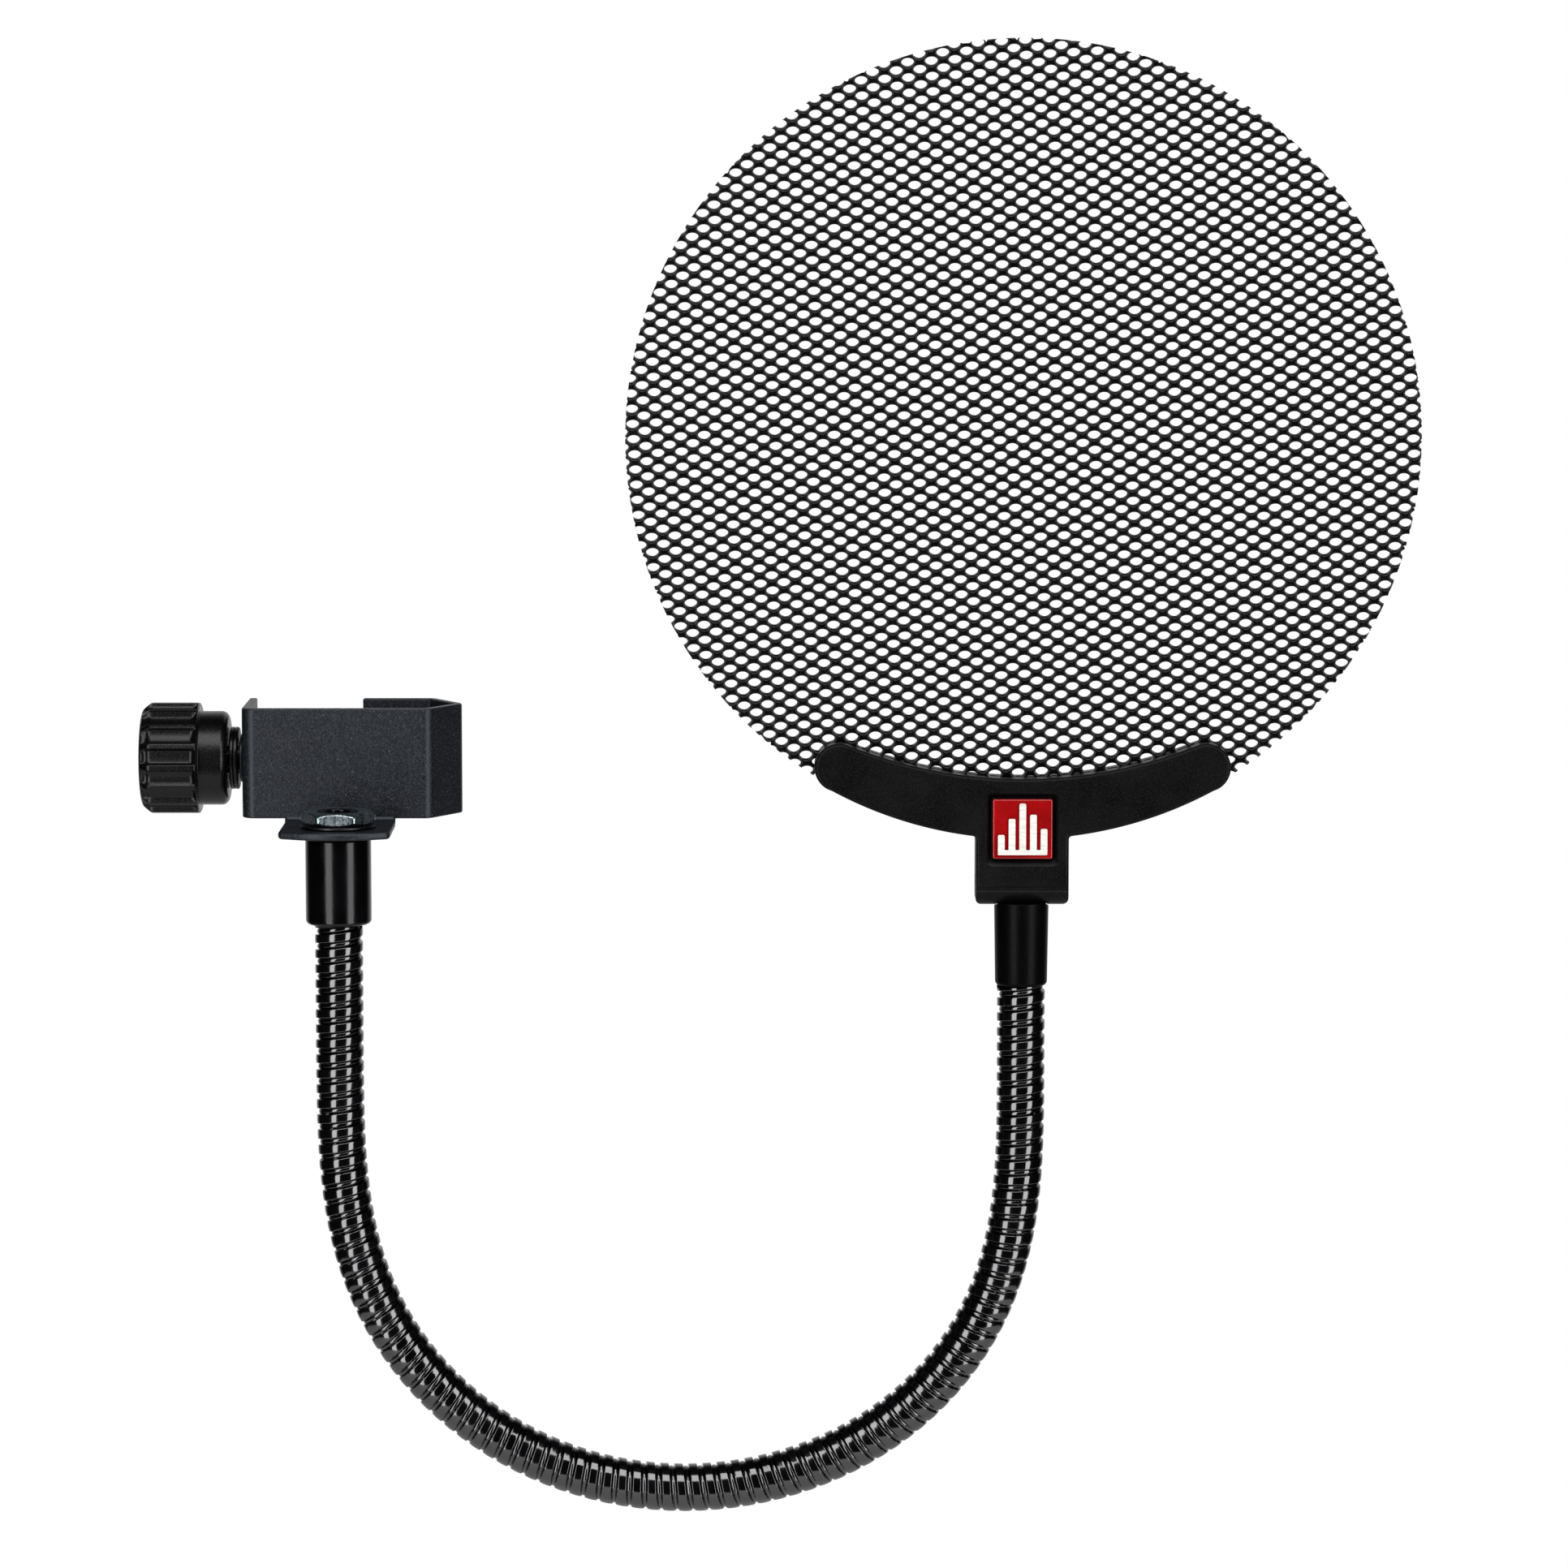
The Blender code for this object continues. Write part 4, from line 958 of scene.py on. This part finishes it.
def make_yoke_front():
    low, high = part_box("yoke_front")
    yoke = yoke_half("yoke_face", low.y, high.y, 1.1 * MM)
    where = middle("badge")
    side = (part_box("badge")[1].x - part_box("badge")[0].x) / 2 + GAP
    flare = 0.8 * MM
    lip = 1.5 * MM
    rings = []
    openness = ((-1.2 * MM, 1.0), (0, 1.0), (0.25 * MM, 0.75), (0.7 * MM, 0.4), (1.3 * MM, 0.0))
    for depth, open_by in openness:
        wide = side + flare * open_by
        foot = side + lip * (1 if depth <= 0 else max(0, 1 - depth / (0.9 * MM)))
        corners = ((wide, -foot, 1.0 * MM), (wide, wide, 0.8 * MM),
                   (-wide, wide, 0.8 * MM), (-wide, -foot, 1.0 * MM))
        rings.append([(x, depth, z) for x, z in rounded(corners)])
    shape = sheet_of(rings)
    bmesh.ops.holes_fill(shape, edges=[edge for edge in shape.edges if edge.is_boundary])
    pocket = add_object("pocket", shape, YOKE_PLASTIC)
    pocket.data.transform(Matrix.Translation((where.x, low.y, where.z)))
    combine(yoke, pocket)
    groove = 0.75 * MM
    width = BLOCK_HALF_WIDTH + 2 * MM
    cutter = turned(cylinder(groove, 2 * width), 32)
    cut(yoke, cutter, (HINGE.x - width, low.y - 0.25 * MM, HINGE.z - 1.4 * MM), (1, 0, 0))
    settle(even_shading(yoke), "head", "yoke_plastic", "yoke_front")


def make_yoke_back():
    low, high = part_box("yoke_back")
    yoke = yoke_half("yoke_rear", low.y, high.y, 0.75 * MM)
    thin = turned(cylinder(CRESCENT_OUTER + 5 * MM, 5 * MM), 192)
    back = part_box("yoke_screw_1")[1].y + 0.2 * MM
    cut(yoke, thin, (SCREEN.x, back, SCREEN.z + 5.2 * MM), (0, 1, 0))
    for number in (1, 2, 3):
        where = middle(f"yoke_screw_{number}")
        depth = back - HINGE.y
        seat = 2.35 * MM
        shank = 1.25 * MM
        profile = ((0, 0), (shank, 0), (shank, depth - 1.4 * MM), (seat, depth - 0.2 * MM),
                   (seat, depth + 2 * MM), (0, depth + 2 * MM))
        cut(yoke, turned(profile, 48), (where.x, HINGE.y, where.z), (0, 1, 0))
    settle(even_shading(yoke), "head", "yoke_plastic", "yoke_back")


def make_yoke_screws():
    """Countersunk screws with a cross recess."""
    for number in (1, 2, 3):
        node = f"yoke_screw_{number}"
        low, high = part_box(node)
        where = middle(node)
        length = high.y - low.y
        shank = 1.1 * MM
        head = (high.x - low.x) / 2
        profile = rounded(((0, 0, 0), (shank, 0, 0.25 * MM), (shank, length - 1.2 * MM, 0.1 * MM),
                           (head, length - 0.15 * MM, 0.05 * MM), (head, length, 0.05 * MM),
                           (0, length, 0)), closed=False)
        screw = add_object(f"cross_screw_{number}", turned(profile, 64), BRIGHT_STEEL)
        place(screw, (where.x, low.y, where.z), (0, 1, 0))
        for turn in (35 * number, 35 * number + 90):
            arm = rounded(((-1.25 * MM, -0.22 * MM, 0.1 * MM), (1.25 * MM, -0.22 * MM, 0.1 * MM),
                           (1.25 * MM, 0.22 * MM, 0.1 * MM), (-1.25 * MM, 0.22 * MM, 0.1 * MM)))
            cutter = add_object("recess", prism(arm, -0.7 * MM, 0.3 * MM), BRIGHT_STEEL)
            cutter.data.transform(Matrix.Rotation(math.radians(turn), 4, "Z"))
            combine(screw, place(cutter, (where.x, high.y, where.z), (0, 1, 0)))
        settle(screw, "head", "bright_steel", node)


def make_pin():
    low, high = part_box("hinge_pin")
    radius = (high.z - low.z) / 2
    length = high.x - low.x
    dimple = 0.15 * MM
    profile = rounded(((0, dimple, 0), (radius * 0.45, dimple, 0), (radius * 0.55, 0, 0),
                       (radius, 0, 0.3 * MM), (radius, length, 0.3 * MM), (radius * 0.55, length, 0),
                       (radius * 0.45, length - dimple, 0), (0, length - dimple, 0)), closed=False)
    pin = add_object("pivot_pin", turned(profile, 64), BRIGHT_STEEL)
    settle(place(pin, (low.x, HINGE.y, HINGE.z), (1, 0, 0)), "head", "bright_steel", "hinge_pin")


def make_hinge_washers():
    for name in ("hinge_washer_left", "hinge_washer_right"):
        low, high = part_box(name)
        outer = (high.z - low.z) / 2
        bore = PIN_RADIUS + GAP / 2
        edge = 0.18 * MM
        profile = flat_ring(bore, outer, high.x - low.x, edge)
        washer = add_object(name.replace("hinge", "friction"), turned(profile, 64), WASHER_NYLON)
        settle(place(washer, (low.x, HINGE.y, HINGE.z), (1, 0, 0)), "head", "washer_nylon", name)


def make_badge():
    """Domed gloss tile and the raised level-meter emblem on it."""
    low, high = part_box("badge")
    where = middle("badge")
    side = (high.x - low.x) / 2
    corners = [(x * side, z * side, 0.35 * MM) for x, z in ((1, -1), (1, 1), (-1, 1), (-1, -1))]
    tile = add_object("badge_tile", prism(rounded(corners), 0, high.y - low.y, "XZ"), BADGE_RED)
    tile.data.transform(Matrix.Translation((where.x, low.y, where.z)))
    soften(tile, 0.3 * MM, 4, 60)
    settle(tile, "head", "badge_red", "badge")
    low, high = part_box("badge_emblem")
    heights = (3.0, 6.2, 9.2, 7.0, 4.2)
    bar, pitch, foot, strip = 1.35 * MM, 2.1 * MM, -5.1 * MM, 1.0 * MM
    edge = pitch * (len(heights) - 1) / 2 + bar / 2
    points = [(edge, foot, 0.15 * MM), (-edge, foot, 0.15 * MM)]
    for number, height in enumerate(heights):
        left = number * pitch - edge
        top = foot + strip + height * MM
        points += [(left, foot + strip, 0.1 * MM), (left, top, 0.3 * MM), (left + bar, top, 0.3 * MM),
                   (left + bar, foot + strip, 0.1 * MM)]
    outline = rounded(points[:2] + points[3:-1], steps=4)
    emblem = add_object("level_emblem", prism(outline, 0, high.y - low.y, "XZ"), EMBLEM_WHITE)
    emblem.data.transform(Matrix.Translation((where.x, low.y, where.z)))
    soften(emblem, 0.12 * MM, 3, 60)
    settle(emblem, "head", "emblem_white", "badge_emblem")


# ---------------------------------------------------------------- screen

def cell_outlines():
    """One opening's rings, from its cell's edge in front, through the opening, to the cell's edge behind.

    Each ring is 18 points (across, up, depth). The opening leans: its lower edge rises from front to back.
    """
    tip = (LONG_WAY**2 + SHORT_WAY**2) / (4 * LONG_WAY)
    shoulder = tip - SHORT_WAY**2 / (2 * LONG_WAY)
    corners = np.array([(tip, 0), (shoulder, SHORT_WAY / 2), (-shoulder, SHORT_WAY / 2), (-tip, 0),
                        (-shoulder, -SHORT_WAY / 2), (shoulder, -SHORT_WAY / 2)])
    ways = np.roll(corners, -1, axis=0) - corners
    edge = np.concatenate([corners[i] + ways[i] * np.array([[0], [1 / 3], [2 / 3]]) for i in range(6)])
    angle = np.arctan2(edge[:, 1] * 1.15, edge[:, 0])

    def ring(grow, lean, depth):
        wide, tall = HOLE_HALF_WIDTH + grow, HOLE_HALF_HEIGHT + grow
        across, up = np.cos(angle), np.sin(angle)
        power = np.where(up > 0, HOLE_ROUND_TOP, HOLE_POINTED_FOOT)
        reach = (np.abs(across / wide) ** power + np.abs(up / tall) ** power) ** (-1 / power)
        return np.stack([across * reach, up * reach + lean, depth + 0 * reach], axis=-1)

    half = SCREEN_DEPTH / 2
    front = np.column_stack([edge, np.full(len(edge), -half)])
    back = np.column_stack([edge, np.full(len(edge), half)])
    return np.stack([front, ring(0.20 * MM, -HOLE_LEAN, -half + 0.02 * MM),
                     ring(0.07 * MM, -HOLE_LEAN, -half + 0.09 * MM), ring(0, -HOLE_LEAN, -half + 0.24 * MM),
                     ring(0, HOLE_LEAN, half - 0.2 * MM), ring(0.14 * MM, HOLE_LEAN, half - 0.02 * MM), back])


def lattice():
    """The centres of all the cells that reach inside the screen's rim, row by row."""
    reach = int(SCREEN_RADIUS / SHORT_WAY) + 2
    across, up = np.meshgrid(np.arange(-reach, reach + 1), np.arange(-2 * reach, 2 * reach + 1))
    across = (across + 0.5 * (up % 2)) * LONG_WAY
    up = up * SHORT_WAY / 2
    centres = np.column_stack([across.ravel(), up.ravel()])
    distance = np.linalg.norm(centres, axis=1)
    centres = centres[distance < SCREEN_RADIUS + LONG_WAY]
    return centres[np.lexsort((centres[:, 0], centres[:, 1]))]


def make_screen():
    """The screen in four bands of cells. Openings that the rim cuts through stay open at the rim."""
    rings = cell_outlines()
    hole_ring = 3
    count = len(rings)
    cosine, sine = math.cos(SCREEN_TURN), math.sin(SCREEN_TURN)
    for band, centres in enumerate(np.array_split(lattice(), 4), 1):
        points = np.tile(rings, (len(centres), 1, 1, 1))
        points[..., :2] += centres[:, None, None, :]
        points[..., :2] = points[..., :2] @ np.array(((cosine, sine), (-sine, cosine)))
        distance = np.linalg.norm(points[..., :2], axis=-1)
        beyond = distance > SCREEN_RADIUS
        inside = ~beyond[:, 0].all(axis=1)
        points, distance, beyond = points[inside], distance[inside], beyond[inside]
        points[..., :2] *= np.minimum(1, SCREEN_RADIUS / distance)[..., None]
        index = np.arange(points[..., 0].size).reshape(distance.shape)
        after = np.roll(index, -1, axis=2)
        keep = ~(beyond[:, hole_ring] & np.roll(beyond[:, hole_ring], -1, axis=1))
        faces = []
        for ring in range(count - 1):
            near, far = ring, ring + 1
            quads = np.stack([index[:, near], after[:, near], after[:, far], index[:, far]], axis=-1)
            faces += quads[keep].tolist()
        rim = keep & beyond[:, 0] & np.roll(beyond[:, 0], -1, axis=1)
        walls = np.stack([index[:, 0], index[:, -1], after[:, -1], after[:, 0]], axis=-1)
        faces += walls[rim].tolist()
        ends = keep & ~np.roll(keep, -1, axis=1)
        faces += after.transpose(0, 2, 1)[ends].tolist()
        starts = keep & ~np.roll(keep, 1, axis=1)
        faces += index.transpose(0, 2, 1)[starts][:, ::-1].tolist()
        flat = points.reshape(-1, 3)
        where = np.column_stack([flat[:, 0], flat[:, 2], flat[:, 1]]) + np.array(SCREEN)
        cells = np.round(where / MERGE_DISTANCE).astype(np.int64)
        _, first, same = np.unique(cells, axis=0, return_index=True, return_inverse=True)
        same = same.reshape(-1)
        mesh = bpy.data.meshes.new(f"screen_band_{band}")
        mesh.from_pydata(where[first].tolist(), [], [[int(same[i]) for i in face] for face in faces])
        mesh.validate()
        mesh.shade_smooth()
        mesh.set_sharp_from_angle(angle=math.radians(55))
        mesh.materials.append(SCREEN_COAT)
        piece = bpy.data.objects.new(f"screen_band_{band}", mesh)
        bpy.context.scene.collection.objects.link(piece)
        settle(piece, "head", "screen_coat", "mesh_screen")


# ---------------------------------------------------------------- stage

def aimed(obj, location, target):
    obj.location = location
    obj.rotation_euler = (target - location).to_track_quat("-Z", "Y").to_euler()
    bpy.context.scene.collection.objects.link(obj)
    return obj


def make_camera():
    data = bpy.data.cameras.new("camera")
    data.sensor_width = 36
    data.angle = VIEW_ANGLE
    data.clip_end = 50
    way = Vector((0, -math.cos(VIEW_PITCH), math.sin(VIEW_PITCH)))
    bpy.context.scene.camera = aimed(bpy.data.objects.new("camera", data), AIM + way * VIEW_DISTANCE, AIM)


def add_softbox(name, azimuth, elevation, distance, width, height, power, colour=(1, 1, 1)):
    """A rectangular light at an azimuth from the front and an elevation, aimed at the object."""
    light = bpy.data.lights.new(name, "AREA")
    light.shape = "RECTANGLE"
    light.size, light.size_y = width, height
    light.energy = power
    light.color = colour
    across, up = math.radians(azimuth), math.radians(elevation)
    way = Vector((math.sin(across) * math.cos(up), -math.cos(across) * math.cos(up), math.sin(up)))
    obj = aimed(bpy.data.objects.new(name, light), AIM + way * distance, AIM)
    obj.visible_camera = False


def make_stage():
    add_softbox("strip_left", -33, 3, 1.4, 0.55, 2.2, 25)
    add_softbox("strip_right", 45, 3, 1.4, 0.55, 2.2, 25)
    add_softbox("top", 5, 54, 1.35, 1.0, 0.8, 15)
    low = CAD_BOX[0]
    shape = bmesh.new()
    bmesh.ops.create_circle(shape, cap_ends=True, segments=96, radius=0.75)
    floor_finish = Finish("floor", (0.85, 0.85, 0.85), 0.7, specular=0.2)
    floor_finish.colours(floor_finish.noise(6, 4.0), (0.84, 0.84, 0.84), (0.87, 0.87, 0.87))
    floor = add_object("floor", shape, floor_finish.material)
    floor.location = (AIM.x, AIM.y, low[2] - 0.35)
    world = bpy.data.worlds.new("studio")
    bpy.context.scene.world = world
    world.use_nodes = True
    tree = world.node_tree
    background = tree.nodes["Background"]
    seen = tree.nodes.new("ShaderNodeLightPath").outputs["Is Camera Ray"]
    place_of = tree.nodes.new("ShaderNodeTexCoord").outputs["Generated"]
    split = tree.nodes.new("ShaderNodeSeparateXYZ")
    tree.links.new(place_of, split.inputs[0])
    behind = tree.nodes.new("ShaderNodeMapRange")
    behind.interpolation_type = "SMOOTHSTEP"
    tree.links.new(split.outputs["Y"], behind.inputs["Value"])
    for name, value in (("From Min", 0.5), ("From Max", 0.95), ("To Min", 0.015), ("To Max", 0.9)):
        behind.inputs[name].default_value = value
    light = tree.nodes.new("ShaderNodeMath")
    light.operation = "MAXIMUM"
    tree.links.new(seen, light.inputs[0])
    tree.links.new(behind.outputs["Result"], light.inputs[1])
    tree.links.new(light.outputs[0], background.inputs["Strength"])
    background.inputs["Color"].default_value = (1, 1, 1, 1)
    bpy.context.scene.view_settings.view_transform = "Standard"


make_camera()
make_bracket()
make_clamp_screw()
make_bush()
make_pad()
make_spacer()
make_knob()
make_nut()
make_washer()
make_ferrule()
make_neck()
make_post()
make_yoke_front()
make_yoke_back()
make_yoke_screws()
make_pin()
make_hinge_washers()
make_badge()
make_screen()
make_stage()
